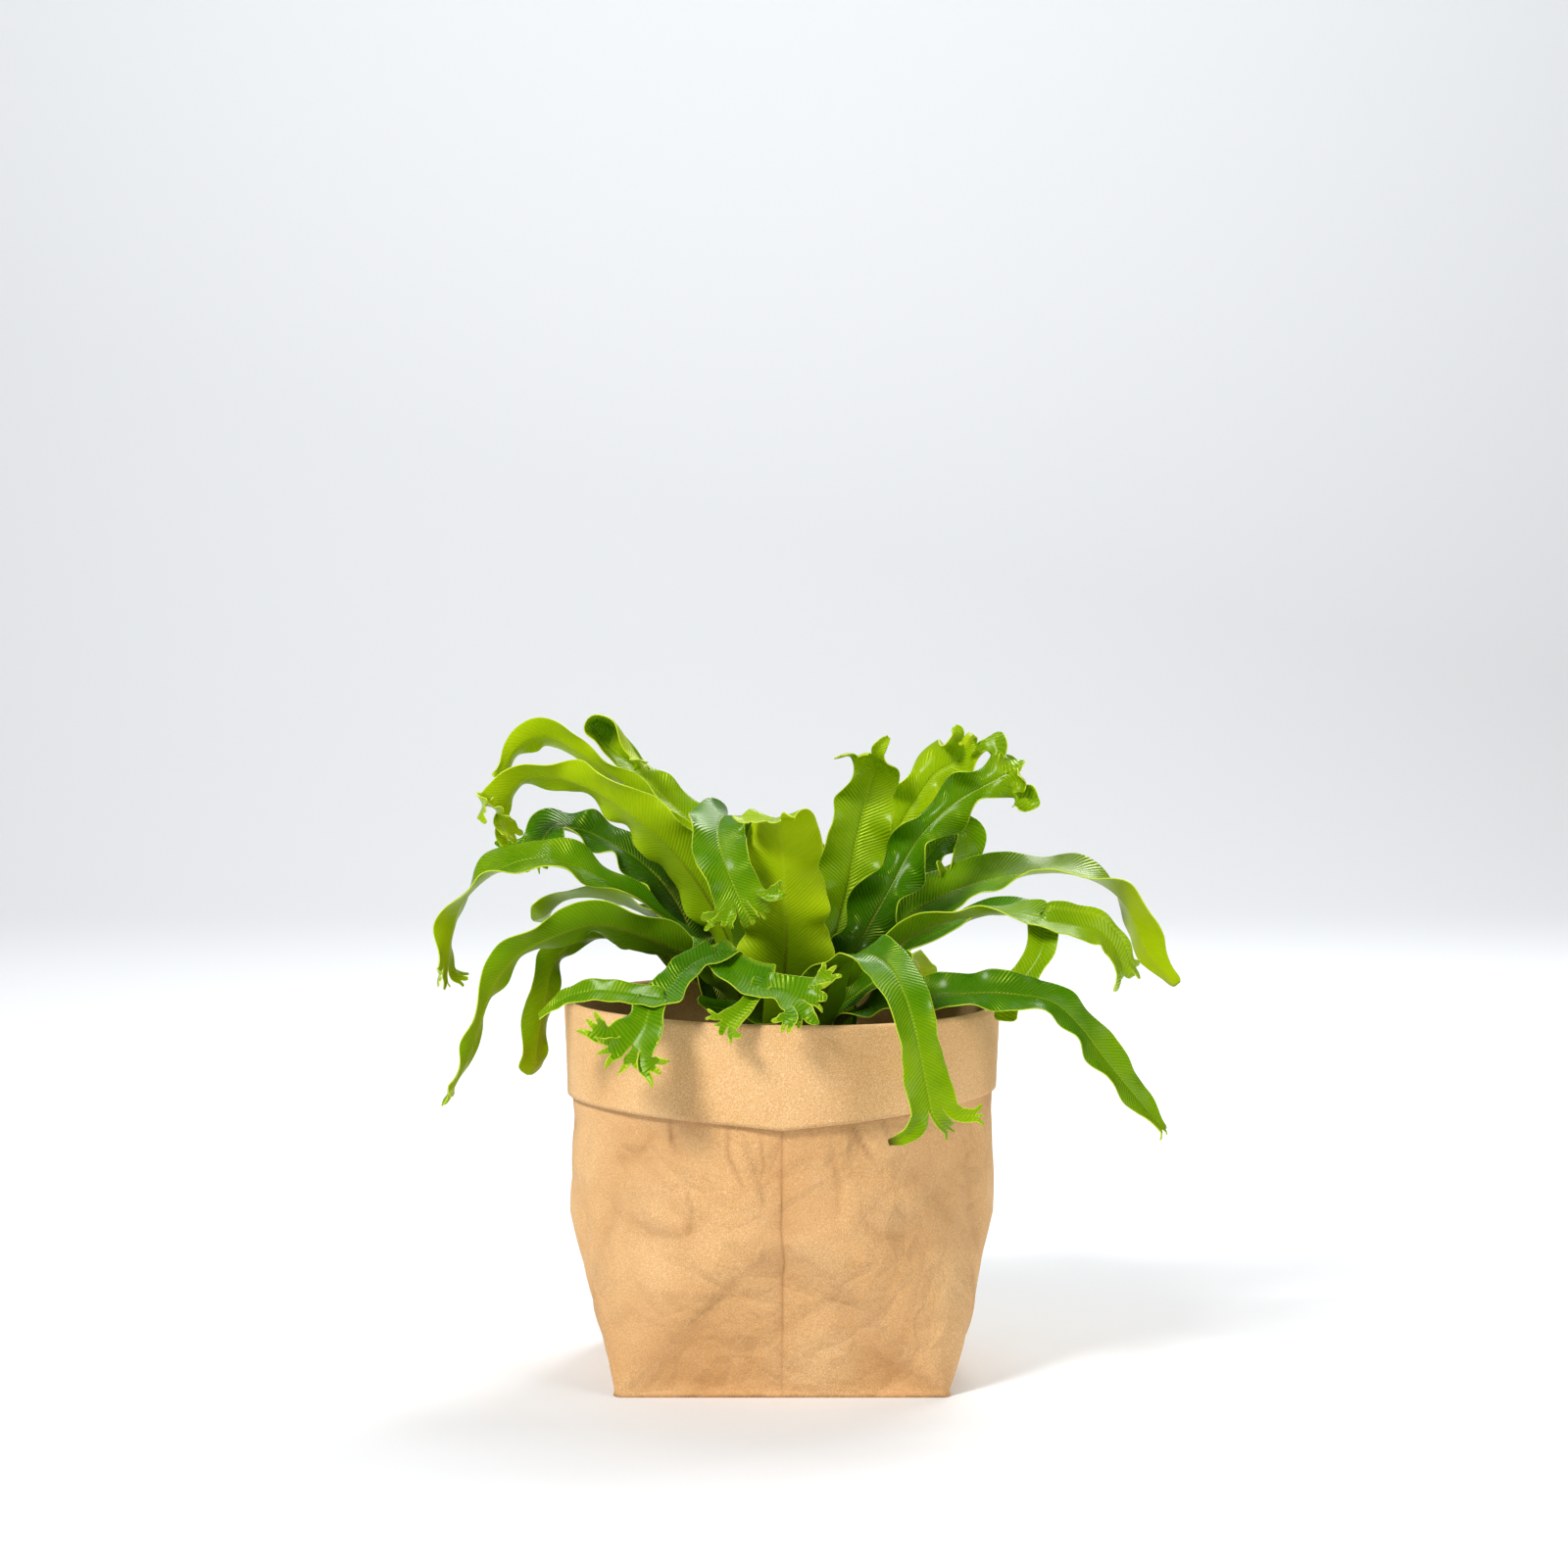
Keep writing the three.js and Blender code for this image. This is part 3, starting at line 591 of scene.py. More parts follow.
plastic, tree, shader, place = new_material("recycled_polypropylene")
scuffing = {"Vector": place, "Scale": 1 / SCUFF, "Detail": 4.0, "Roughness": 0.65}
scuff = add(tree, "TexNoise", {}, scuffing)
greyed = [(0.4, "#171615"), (0.75, "#2c2a28")]
black = add(tree, "ValToRGB", {}, {"Fac": scuff}, stops=greyed)
worn = {"Value": scuff, "To Min": 0.35, "To Max": 0.6}
set_inputs(tree, shader, {"Base Color": black, "Roughness": add(tree, "MapRange", {}, worn)})

# %% [markdown]
# ## The nursery pot
# One profile is spun round the axis: a flat floor, a rounded foot, a leaning wall, and the rolled lip
# that stacks of pots catch on. Six drain slots are left out of the floor, and the wall gets its
# thickness last.

# %% Nursery pot
POT_WALL = 1.2 * MM
POT_FOOT = 56 * MM
POT_LEAN = 19 * MM  # how much wider the pot is at its rim
LIP_HEIGHT = 14 * MM
LIP_STEP = 1.6 * MM
FOOT_ROUND = 3 * MM
SPIN_STEPS = 96
SLOT_FROM, SLOT_TO = 33 * MM, 43 * MM  # the drain slots lie between these circles
SLOT_TURN = 60  # degrees from one slot to the next
SLOT_WIDTH = 13  # degrees

pot_low, pot_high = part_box("nursery_pot")
pot_axis = Vector(((pot_low.x + pot_high.x) / 2, (pot_low.y + pot_high.y) / 2, 0))
pot_rim = (pot_high.x - pot_low.x) / 2 - POT_WALL / 2
pot_height = pot_high.z - pot_low.z
lip_foot = pot_height - LIP_HEIGHT
wall_middle = POT_FOOT + 0.6 * POT_LEAN * lip_foot / pot_height
pot_profile = [
    (6 * MM, 0), (26 * MM, 0), (SLOT_FROM, 0), (SLOT_TO, 0), (POT_FOOT - FOOT_ROUND, 0),
    (POT_FOOT - 0.8 * MM, 0.8 * MM), (POT_FOOT, FOOT_ROUND), (wall_middle, lip_foot * 0.6),
    (pot_rim + 0.6 * MM - LIP_STEP - 3 * MM, lip_foot), (pot_rim, lip_foot + 0.6 * MM),
    (pot_rim, pot_height - 3 * MM), (pot_rim, pot_height - 0.6 * MM),
]


def is_drain(face):
    centre = face.calc_center_median()
    if centre.z > 1 * MM or not SLOT_FROM < centre.xy.length < SLOT_TO:
        return False
    return math.degrees(math.atan2(centre.y, centre.x)) % SLOT_TURN < SLOT_WIDTH


pot_bm = bmesh.new()
ring = [pot_bm.verts.new((radius, 0, height + POT_WALL / 2)) for radius, height in pot_profile]
edges = [pot_bm.edges.new(pair) for pair in zip(ring, ring[1:])]
bmesh.ops.spin(
    pot_bm, geom=ring + edges, cent=(0, 0, 0), axis=(0, 0, 1), angle=2 * math.pi,
    steps=SPIN_STEPS, use_merge=True,
)
bmesh.ops.remove_doubles(pot_bm, verts=pot_bm.verts, dist=0.01 * MM)
floor_edge = [e for e in pot_bm.edges if e.is_boundary and e.verts[0].co.xy.length < 10 * MM]
bmesh.ops.contextual_create(pot_bm, geom=floor_edge)
bmesh.ops.delete(pot_bm, geom=[f for f in pot_bm.faces if is_drain(f)], context="FACES")
bmesh.ops.recalc_face_normals(pot_bm, faces=pot_bm.faces)
bmesh.ops.translate(pot_bm, verts=pot_bm.verts, vec=pot_axis + Vector((0, 0, pot_low.z)))
pot = finished("plastic_nursery_pot", pot_bm, [plastic], "nursery_pot")
thicken(pot, POT_WALL, 0)

# %% [markdown]
# ## Crumbly finishes
# Four finishes in the pot are one recipe with other numbers, a noise at the size of the grain that runs
# through three colours of the same stuff:
# - moist peat, near black in its pores and brown on its crumbs, which are raised so that it looks open;
# - composted bark, split and weathered, whose paler grain catches the eye among the peat;
# - perlite, puffed volcanic glass, dusty white specks that say this is a bought mix;
# - the dry scales of the fern's crown, streaked light and dark like straw.

# %% Crumbly finishes
CRUMBLY = {
    # name: (grain, detail, roughness of the noise, roughness of the surface, crumb height, stops)
    "moist_peat": (2.2, 5.0, 0.75, 0.95, 1.0, [(0.3, "#170d07"), (0.55, "#35231a"), (0.8, "#54392a")]),
    "composted_bark": (3.5, 4.0, 0.5, 0.85, 0, [(0.3, "#2a1a10"), (0.6, "#5b3d28"), (0.8, "#7a5638")]),
    "perlite": (1.5, 3.0, 0.5, 0.9, 0, [(0.35, "#b7b0a2"), (0.65, "#e9e6dd")]),
    "dry_fern_scales": (2.5, 3.0, 0.5, 0.8, 0, [(0.3, "#24150c"), (0.55, "#4a3220"), (0.8, "#7b5c3c")]),
}
crumbly = {}
for name, (grain, detail, broken, rough, crumb_height, stops) in CRUMBLY.items():
    crumbly[name], tree, shader, place = new_material(name)
    graining = {"Vector": place, "Scale": 1 / (grain * MM), "Detail": detail, "Roughness": broken}
    crumb = add(tree, "TexNoise", {}, graining)
    colour = add(tree, "ValToRGB", {}, {"Fac": crumb}, stops=stops)
    set_inputs(tree, shader, {"Base Color": colour, "Roughness": rough})
    if crumb_height:
        raised = {"Height": crumb, "Strength": 0.8, "Distance": crumb_height * MM}
        set_inputs(tree, shader, {"Normal": add(tree, "Bump", {}, raised)})

# %% [markdown]
# ## Potting mix
# Fern growers use a loose mix of peat, composted bark and a little perlite. A disc is roughened with
# noise for the peat and closed below, so that it is a solid plug.

# %% Peat
SOIL_DOME = 5 * MM
SOIL_FOOT = 54 * MM
SOIL_CELLS = 90

soil_low, soil_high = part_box("potting_soil")
soil_radius = (soil_high.x - soil_low.x) / 2


def soil_height(x, y):
    share = min(math.hypot(x, y) / soil_radius, 1)
    clods = noise.noise(Vector((x, y, 0)) / (9 * MM)) * 1.6
    crumbs = noise.noise(Vector((x, y, 5)) / (3.5 * MM)) * 0.8
    rough = (clods + crumbs) * MM * (1 - 0.5 * share)
    return soil_high.z - SOIL_DOME * share**2 + rough - 1.5 * MM


soil_bm = bmesh.new()
bmesh.ops.create_grid(soil_bm, x_segments=SOIL_CELLS, y_segments=SOIL_CELLS, size=soil_radius)
outside = [v for v in soil_bm.verts if v.co.xy.length > soil_radius - 0.3 * MM]
bmesh.ops.delete(soil_bm, geom=outside, context="VERTS")
for vert in soil_bm.verts:
    vert.co.z = soil_height(vert.co.x, vert.co.y)
boundary = [e for e in soil_bm.edges if e.is_boundary]
skirt = bmesh.ops.extrude_edge_only(soil_bm, edges=boundary)
for vert in [g for g in skirt["geom"] if isinstance(g, bmesh.types.BMVert)]:
    vert.co.xy *= SOIL_FOOT / soil_radius
    vert.co.z = soil_low.z
bmesh.ops.contextual_create(soil_bm, geom=[e for e in soil_bm.edges if e.is_boundary])
print("peat plug:", len(soil_bm.faces), "faces")

# %% [markdown]
# Small broken lumps are scattered over the peat: most are bark, about one in eight is perlite. Each is
# a ball with few faces, squashed, turned and knocked out of true.

# %% Lumps
LUMPS = 620
LUMP_SIZES = [1.0, 1.4, 1.8, 2.6]  # millimetres
PERLITE_SHARE = 0.12

chance = random.Random(7)
for _ in range(LUMPS):
    radius = soil_radius * math.sqrt(chance.random()) * 0.95
    turn = chance.uniform(0, 2 * math.pi)
    x, y = radius * math.cos(turn), radius * math.sin(turn)
    size = chance.choice(LUMP_SIZES) * MM
    white = chance.random() < PERLITE_SHARE
    squash = (chance.uniform(0.8, 1.9), chance.uniform(0.6, 1), chance.uniform(0.4, 0.7), 1)
    axis = (chance.uniform(-1, 1), chance.uniform(-1, 1), 2)
    turned = Quaternion(axis, chance.uniform(0, 6)).to_matrix().to_4x4()
    seat = Matrix.Translation((x, y, soil_height(x, y) + size * 0.25))
    placed = seat @ turned @ Matrix.Diagonal(squash)
    lump = bmesh.ops.create_icosphere(soil_bm, subdivisions=1, radius=size, matrix=placed)
    for vert in lump["verts"]:
        vert.co += Vector([chance.uniform(-0.25, 0.25) * size for _ in range(3)])
    for face in {f for v in lump["verts"] for f in v.link_faces}:
        face.material_index = 2 if white else 1
bmesh.ops.translate(soil_bm, verts=soil_bm.verts, vec=pot_axis)
soil_finishes = [crumbly["moist_peat"], crumbly["composted_bark"], crumbly["perlite"]]
finished("potting_mix", soil_bm, soil_finishes, "potting_soil")

# %% [markdown]
# ## The crown
# A bird's-nest fern grows from a short upright rhizome, wrapped in brown papery scales and old leaf
# stumps. The scales are thin tapered blades laid round a dome in overlapping rings.

# %% Crown
CROWN_RISE = 16 * MM
CROWN_DEPTH = 13 * MM
SCALES = 260

crown_low, crown_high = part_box("crown")
CROWN_RADIUS = (crown_high.x - crown_low.x) / 2
crown_middle = (crown_low + crown_high) / 2
crown_seat = Vector((crown_middle.x, crown_middle.y, crown_high.z - CROWN_RISE))

crown_bm = bmesh.new()
bmesh.ops.create_uvsphere(crown_bm, u_segments=40, v_segments=20, radius=CROWN_RADIUS * 0.97)
for vert in crown_bm.verts:
    rise = CROWN_RISE if vert.co.z > 0 else CROWN_DEPTH
    vert.co.z *= rise / CROWN_RADIUS
    vert.co *= 1 + 0.04 * noise.noise(vert.co / (4 * MM))
for _ in range(SCALES):
    turn = chance.uniform(0, 2 * math.pi)
    lift = math.radians(chance.uniform(2, 80))
    ring = level(turn) * math.cos(lift)
    out = ring + Vector((0, 0, math.sin(lift)))
    foot = Vector((out.x * CROWN_RADIUS, out.y * CROWN_RADIUS, out.z * CROWN_RISE)) * 0.96
    length = chance.uniform(3, 6) * MM
    lean = (Vector((0, 0, 1)) + out * chance.uniform(0.2, 0.7)).normalized()
    side = lean.cross(out).normalized() * length * 0.16
    scale = bmesh.ops.create_grid(crown_bm, x_segments=1, y_segments=3, size=1)
    for vert in scale["verts"]:
        s, t = vert.co.x, (vert.co.y + 1) / 2
        arched = out * length * 0.12 * math.sin(3 * t)
        vert.co = foot + lean * length * t + side * s * (1 - t * 0.9) + arched
bmesh.ops.translate(crown_bm, verts=crown_bm.verts, vec=crown_seat)
finished("fern_crown", crown_bm, [crumbly["dry_fern_scales"]], "crown")

# %% [markdown]
# ## Living leaf
# The blade of this fern is one thin sheet of wet green cells between two skins. Side veins leave the
# midrib at a steep angle and crowd together, so they catch the light as a fine comb. Each blade carries
# its own measurements: the UV map holds metres across and along it, and attributes say how near the
# margin a point is, how far from the foot, how bright the frond is, partly as painted shade, and what
# has dried.

# %% Leaf patterns
VEIN_SPACING = 1.7 * MM  # drawn coarser than the real 1 mm, so that they can be seen from afar
VEIN_SLANT = 0.75  # how far a vein runs towards the tip for each millimetre outwards
VEIN_WANDER = 4 * MM
PATTERNS = {"patch": 28 * MM, "fleck": 1.6 * MM}


def leaf_patterns(tree, place):
    """What the blade measures at a point, with its patches, flecks and side veins."""
    facts = {}
    for key in ("margin", "rise", "shade_and_tone", "dry"):
        facts[key] = add(tree, "Attribute", {"attribute_name": key}, {}, "Fac")
    for key, size in PATTERNS.items():
        pattern = {"Vector": place, "Scale": 1 / size, "Detail": 2.0}
        facts[key] = add(tree, "TexNoise", {}, pattern)
    blade = add(tree, "UVMap", {"uv_map": "blade"}, {})
    across = add(tree, "SeparateXYZ", {}, {"Vector": blade})
    run = across.node.outputs["Y"]
    width = add(tree, "Math", {"operation": "ABSOLUTE"}, {0: across})
    swept = add(tree, "Math", {"operation": "MULTIPLY_ADD"}, {0: width, 1: -VEIN_SLANT, 2: run})
    bent = {0: facts["patch"], 1: VEIN_WANDER, 2: swept}
    bent = add(tree, "Math", {"operation": "MULTIPLY_ADD"}, bent)
    phase = add(tree, "Math", {"operation": "MULTIPLY"}, {0: bent, 1: 2 * math.pi / VEIN_SPACING})
    facts["vein"] = add(tree, "Math", {"operation": "SINE"}, {0: phase})
    facts["width"] = width
    return facts


# %% [markdown]
# A fern's green is never one green. It yellows towards the tips, in soft patches, and is painted darker
# towards the foot: painted shade for the heart of the plant, where the fronds shade each other. A few
# pale flecks are old water spots. The margin is a thin clear rim, the brightest line on the plant, and
# draws every ruffle for the eye. The midrib is brown at the foot and fades into the blade, and torn
# tips dry to brown paper.

# %% Leaf colour
# Partly painted shade: the tone is darkest at each frond's foot, for the shade in the heart of the
# plant, and rises towards the yellower tip.
SHADED_FOOT_BRIGHT_TIP = 0.75
PATCHY = 0.5
VEINED = 0.05
LEVEL = -0.5875  # takes off the mean of those three, so that a frond's tone is its mean tone
MIDRIB_BROWN = "#2c1f0e"
DRY_BROWN = "#4a2f16"
RANGES = {
    # name: (what is read, from, to, and the values given at those two)
    "freckle": ("fleck", 0.68, 0.8, 0.0, 0.35),
    "rim": ("margin", 0.955, 1.0, 0.0, 0.5),
    "rib": ("width", 0.3 * MM, 0.9 * MM, 1.0, 0.0),
    "pale_rib": ("width", 0.3 * MM, 0.9 * MM, 0.22, 0.0),
    "foot": ("rise", 0.08, 0.6, 1.0, 0.0),
    "stipe": ("rise", 0.02, 0.16, 0.75, 0.0),
}


def leaf_colour(tree, facts, greens, rim_colour):
    """The colour of a leaf from three greens, dark to bright, and its rim's colour."""
    # The frond's tone is partly its own green and partly painted shade: it is low on fronds that sit in
    # the shade of others.
    shade_and_tone = LEVEL
    weights = (("rise", SHADED_FOOT_BRIGHT_TIP), ("patch", PATCHY), ("vein", VEINED), ("shade_and_tone", 1.0))
    for key, weight in weights:
        weighed = {0: facts[key], 1: weight, 2: shade_and_tone}
        shade_and_tone = add(tree, "Math", {"operation": "MULTIPLY_ADD"}, weighed)
    for key, numbers in RANGES.items():
        sockets = ("Value", "From Min", "From Max", "To Min", "To Max")
        inputs = dict(zip(sockets, (facts[numbers[0]], *numbers[1:])))
        facts[key] = add(tree, "MapRange", {}, inputs)
    brown = add(tree, "Math", {"operation": "MULTIPLY"}, {0: facts["rib"], 1: facts["foot"]})
    brown = add(tree, "Math", {"operation": "MAXIMUM"}, {0: brown, 1: facts["stipe"]})
    layers = [
        (facts["freckle"], greens[-1]), (facts["rim"], rim_colour), (facts["pale_rib"], rim_colour),
        (brown, MIDRIB_BROWN), (facts["dry"], DRY_BROWN),
    ]
    stops = list(zip((0.0, 0.5, 1.0), greens))
    green = add(tree, "ValToRGB", {}, {"Fac": shade_and_tone}, stops=stops)
    for amount, colour in layers:
        green = add(tree, "Mix", {"data_type": "RGBA"}, {0: amount, 6: green, 7: colour}, 2)
    return green


# %% [markdown]
# Three finishes share those patterns:
# - the upper side is waxy. A thin clear skin over it gives the eye sharp glints that run along the
#   ruffles, over a softer gloss that is tinted, because much of that light has been inside the leaf;
# - the underside is matte, paler and yellower, which is how the eye knows that a blade has turned over;
# - the cut edge is the clear rim seen end on.
#
# In all of them light scatters a millimetre or two inside, green above all and hardly blue, so a blade
# with a lamp behind it glows.

# %% Leaf finishes
VEIN_RELIEF = 0.22 * MM
LEAF_SIDES = {
    # name: (greens from dark to bright, rim, roughness, clear skin, how strongly the veins stand out)
    "waxy_leaf_upper": (("#163402", "#447a01", "#98b406"), "#b0c424", 0.26, 0.12, 0.95),
    "matte_leaf_underside": (("#264602", "#669004", "#a2b808"), "#b8c828", 0.42, 0.0, 0.45),
    "leaf_edge": (("#7fa016", "#a8bf28", "#c8d640"), "#c8d640", 0.45, 0.0, 0.1),
}
LIVING = {
    "Coat Roughness": 0.18,
    "Specular IOR Level": 0.4,
    "Specular Tint": "#dcec50",
    "Subsurface Weight": 0.35,
    "Subsurface Radius": (0.6, 1.0, 0.15),
    "Subsurface Scale": 2 * MM,
}

leaf = []
for name, (greens, rim_colour, rough, skin, veined) in LEAF_SIDES.items():
    material, tree, shader, place = new_material(name)
    facts = leaf_patterns(tree, place)
    green = leaf_colour(tree, facts, greens, rim_colour)
    uneven = {"Value": facts["patch"], "To Min": rough - 0.06, "To Max": rough + 0.1}
    uneven = add(tree, "MapRange", {}, uneven)
    groove = add(tree, "Math", {"operation": "MULTIPLY"}, {0: facts["rib"], 1: -1.2})
    height = {0: facts["vein"], 1: 0.5, 2: groove}
    height = add(tree, "Math", {"operation": "MULTIPLY_ADD"}, height)
    raised = {"Height": height, "Strength": veined, "Distance": VEIN_RELIEF}
    raised = add(tree, "Bump", {}, raised)
    linked = {"Base Color": green, "Roughness": uneven, "Normal": raised, "Coat Weight": skin}
    set_inputs(tree, shader, {**linked, **LIVING})
    leaf.append(material)

# %% [markdown]
# ## Where a frond goes
# A frond is a ribbon that follows its midrib. `rib` holds given points in millimetres: right, back,
# and above the bag's rim. They are the same points that the CAD fronds follow, and they widen with the
# cuff. The first two points are on the crown: one on its dome and one straight out from it.

# %% Frond places
DRAWN_MOUTH = 104 * MM
CUFF_CLEARANCE = 3 * MM
SPREAD = (CUFF_OUTER + CUFF_CLEARANCE) / DRAWN_MOUTH
GAP = 0.3 * MM
LEAVING = 5 * MM


def over_mouth(point):
    right, back, above = point
    return Vector((right * SPREAD * MM, back * SPREAD * MM, RIM + above * MM))


def crown_points(turn, lift):
    """Where a frond leaves the crown, and a second point straight out from it."""
    a, e = math.radians(turn), math.radians(lift)
    ring = level(a) * math.cos(e)
    upward = Vector((0, 0, math.sin(e)))
    out = (ring * CROWN_RISE + upward * CROWN_RADIUS).normalized()
    foot = crown_seat + ring * CROWN_RADIUS + upward * CROWN_RISE + out * GAP
    return [foot, foot + out * LEAVING]


print("fronds spread by", round(SPREAD, 3))

# %% [markdown]
# ## The midrib
# A smooth curve runs through the points. It is centripetal, so it never loops where two of them are
# close, and it is spaced evenly, so that the rows of the blade are too.

# %% Midrib curve
STEP = 2.0 * MM
FINE = 16  # points on each stretch before they are spaced evenly


def ease(t):
    t = min(max(t, 0), 1)
    return t * t * (3 - 2 * t)


def along(values, u):
    """The value at u from 0 to 1 of numbers spread evenly, eased between them."""
    place = min(max(u, 0), 1) * (len(values) - 1)
    low = min(int(place), len(values) - 2)
    return values[low] + (values[low + 1] - values[low]) * ease(place - low)


def curve_between(p0, p1, p2, p3):
    """Points from p1 almost to p2 on the centripetal curve through all four."""
    d0, d1, d2 = [max((b - a).length, 1e-6) ** 0.5 for a, b in ((p0, p1), (p1, p2), (p2, p3))]
    m1 = ((p1 - p0) / d0 - (p2 - p0) / (d0 + d1) + (p2 - p1) / d1) * d1
    m2 = ((p2 - p1) / d1 - (p3 - p1) / (d1 + d2) + (p3 - p2) / d2) * d1
    made = []
    for k in range(FINE):
        t = k / FINE
        a, b = 2 * t**3 - 3 * t**2 + 1, t**3 - 2 * t**2 + t
        made.append(a * p1 + b * m1 + (1 - a) * p2 + (t**3 - t**2) * m2)
    return made


def smooth_curve(points):
    """Evenly spaced points on a smooth curve through the given ones."""
    ends = [2 * points[0] - points[1], *points, 2 * points[-1] - points[-2]]
    fine = []
    for four in zip(ends, ends[1:], ends[2:], ends[3:]):
        fine += curve_between(*four)
    fine.append(points[-1])
    lengths = [0.0]
    for a, b in zip(fine, fine[1:]):
        lengths.append(lengths[-1] + (b - a).length)
    count = max(round(lengths[-1] / STEP), 4)
    even, k = [], 0
    for i in range(count + 1):
        want = lengths[-1] * i / count
        while k < len(fine) - 2 and lengths[k + 1] < want:
            k += 1
        share = (want - lengths[k]) / max(lengths[k + 1] - lengths[k], 1e-9)
        even.append(fine[k].lerp(fine[k + 1], min(share, 1)))
    return even


print("steps along a midrib:", STEP, "m")

# %% [markdown]
# A frame at each step says where forward, sideways and up are for the blade. The lobes of a crest have
# no points of their own. They leave the blade and turn as they go: `fan` bends them within the blade,
# `curl` towards its underside, and `twist` turns them about themselves.

# %% Frames
LOBE_STEP = 1.3 * MM
EARLY_FAN = 1.6  # a lobe fans out early and then straightens
LATE_FAN = 0.2


def rib_frames(points, faces):
    """(place, forward, side, up) at each step of a midrib. faces are where the upper side looks."""
    even = smooth_curve(points)
    last = len(even) - 1
    frames = []
    for i, place in enumerate(even):
        forward = (even[min(i + 1, last)] - even[max(i - 1, 0)]).normalized()
        look = Vector([along([face[axis] for face in faces], i / last) for axis in range(3)])
        side = forward.cross(look).normalized()
        frames.append((place, forward, side, side.cross(forward).normalized()))
    return frames


def turning_frames(start, length, fan, curl, twist):
    """Frames that leave a frame and turn through three angles in degrees."""
    place, forward, side, up = start
    count = max(round(length / LOBE_STEP), 3)
    frames = [start]
    for k in range(count):
        fan_share = EARLY_FAN * (1 - k / count) + LATE_FAN
        turn = Quaternion(up, -math.radians(fan) * fan_share / count)
        turn = Quaternion(side, -math.radians(curl) / count) @ turn
        turn = Quaternion(forward, math.radians(twist) / count) @ turn
        forward, side, up = turn @ forward, turn @ side, turn @ up
        place = place + forward * length / count
        frames.append((place, forward, side, up))
    return frames


print("steps along a lobe:", LOBE_STEP, "m")

# %% [markdown]
# ## Across the blade
# The margins are longer than the midrib on this fern, so they have nowhere to go but up and down: that
# is the ruffle. Each half has its own wave. The blade is also cupped, its midrib lies in a groove, and
# its outline is a little ragged.

# %% Blade section
CUP = 0.26  # how far the margin stands up, as a share of the half width
CUP_POWER = 1.3
RUFFLE_POWER = 2.4  # the ruffle is all near the margin
RUFFLE_FULL = 8 * MM  # a blade with this half width has its full ruffle
WANDER = 2.2
RAGGED = 0.09
RAGGED_SIZE = 7 * MM
GROOVE_DEPTH = 0.5 * MM
GROOVE_WIDTH = 1.1 * MM


# a point of the blade, with what the materials need to know about it
Point = collections.namedtuple("Point", ["place", "across", "run", "margin", "dry"])


def across_blade(s, u, width, ruffle, run, total_run, shift):
    """How far out and how far up the blade lies at s, from -1 at one margin to 1 at the other."""
    depth, wave = ruffle
    swing = 2 * math.pi * total_run / wave + shift
    swing += WANDER * noise.noise(Vector((run / wave * 0.9, shift, 0)))
    fade = min(width / RUFFLE_FULL, 1) * ease(u * 4)
    lift = depth * abs(s) ** RUFFLE_POWER * math.sin(swing) * fade
    ragged = 1 + RAGGED * noise.noise(Vector((total_run / RAGGED_SIZE, shift * 3, 1)))
    ragged += min(0.03 * depth / MM, 0.34) * math.cos(swing + 0.6)
    groove = GROOVE_DEPTH * math.exp(-((s * width / GROOVE_WIDTH) ** 2)) * (1 - 0.7 * u)
    return s * width * ragged, abs(s) ** CUP_POWER * width * CUP + lift - groove


print("cup", CUP, "of the half width")

# %% [markdown]
# ## Growing the blade
# `grow` lays rows of points along the frames. Where the blade forks, each fork starts from its own
# piece of the last row, so the blade stays one surface. Each stretch is a grid from `create_grid` with
# its points moved into place, and the shared rows weld.

# %% Blade
COLUMNS = 28
BLEND = 7 * MM  # how soon a fork takes its own shape
THINNEST = 0.25 * MM
CARRIED = Point._fields[1:]


def lay_grid(bm, rows):
    columns, steps = len(rows[0]) - 1, len(rows) - 1
    made = bmesh.ops.create_grid(bm, x_segments=columns, y_segments=steps, size=1)
    layers = {name: bm.verts.layers.float.get(name) for name in CARRIED}
    for vert in made["verts"]:
        row = rows[round((vert.co.y + 1) / 2 * steps)]
        point = row[round((vert.co.x + 1) / 2 * columns)]
        vert.co = point.place
        for name in CARRIED:
            vert[layers[name]] = getattr(point, name)


def grow(bm, start, frames, widths, ruffle, chance, dry=0.0):
    """Rows from a starting row along frames. widths are the widest half, its shares and the least."""
    columns = len(start) - 1
    first = frames[0]
    offsets = [[(p.place - first[0]).dot(axis) for axis in first[1:]] for p in start]
    shifts = [chance.uniform(0, 7), chance.uniform(0, 7)]
    widest, shares, least = widths
    rows, run = [start], 0.0
    for i in range(1, len(frames)):
        place, forward, side, up = frames[i]
        run += (place - frames[i - 1][0]).length
        u = i / (len(frames) - 1)
        width = max(widest * along(shares, u), least)
        taken = ease(run / BLEND)
        row = []
        for j, begun in enumerate(start):
            s = 2 * j / columns - 1
            shift = shifts[0] if s < 0 else shifts[1]
            out, rise = across_blade(s, u, width, ruffle, run, run + begun.run, shift)
            f, w, h = offsets[j]
            carried = forward * f * (1 - taken) + side * w + up * h
            spot = place + carried.lerp(side * out + up * rise, taken)
            margin = max(abs(s), begun.margin * (1 - taken))
            row.append(Point(spot, begun.across, begun.run + run, margin, dry * ease(u * 3 - 2)))
        rows.append(row)
    lay_grid(bm, rows)
    return rows[-1], frames[-1]


print("columns across a blade:", COLUMNS)

# %% [markdown]
# `deal` is what makes a crest: it shares a row out among the forks and lets each one grow, and a fork
# may be dealt out again.

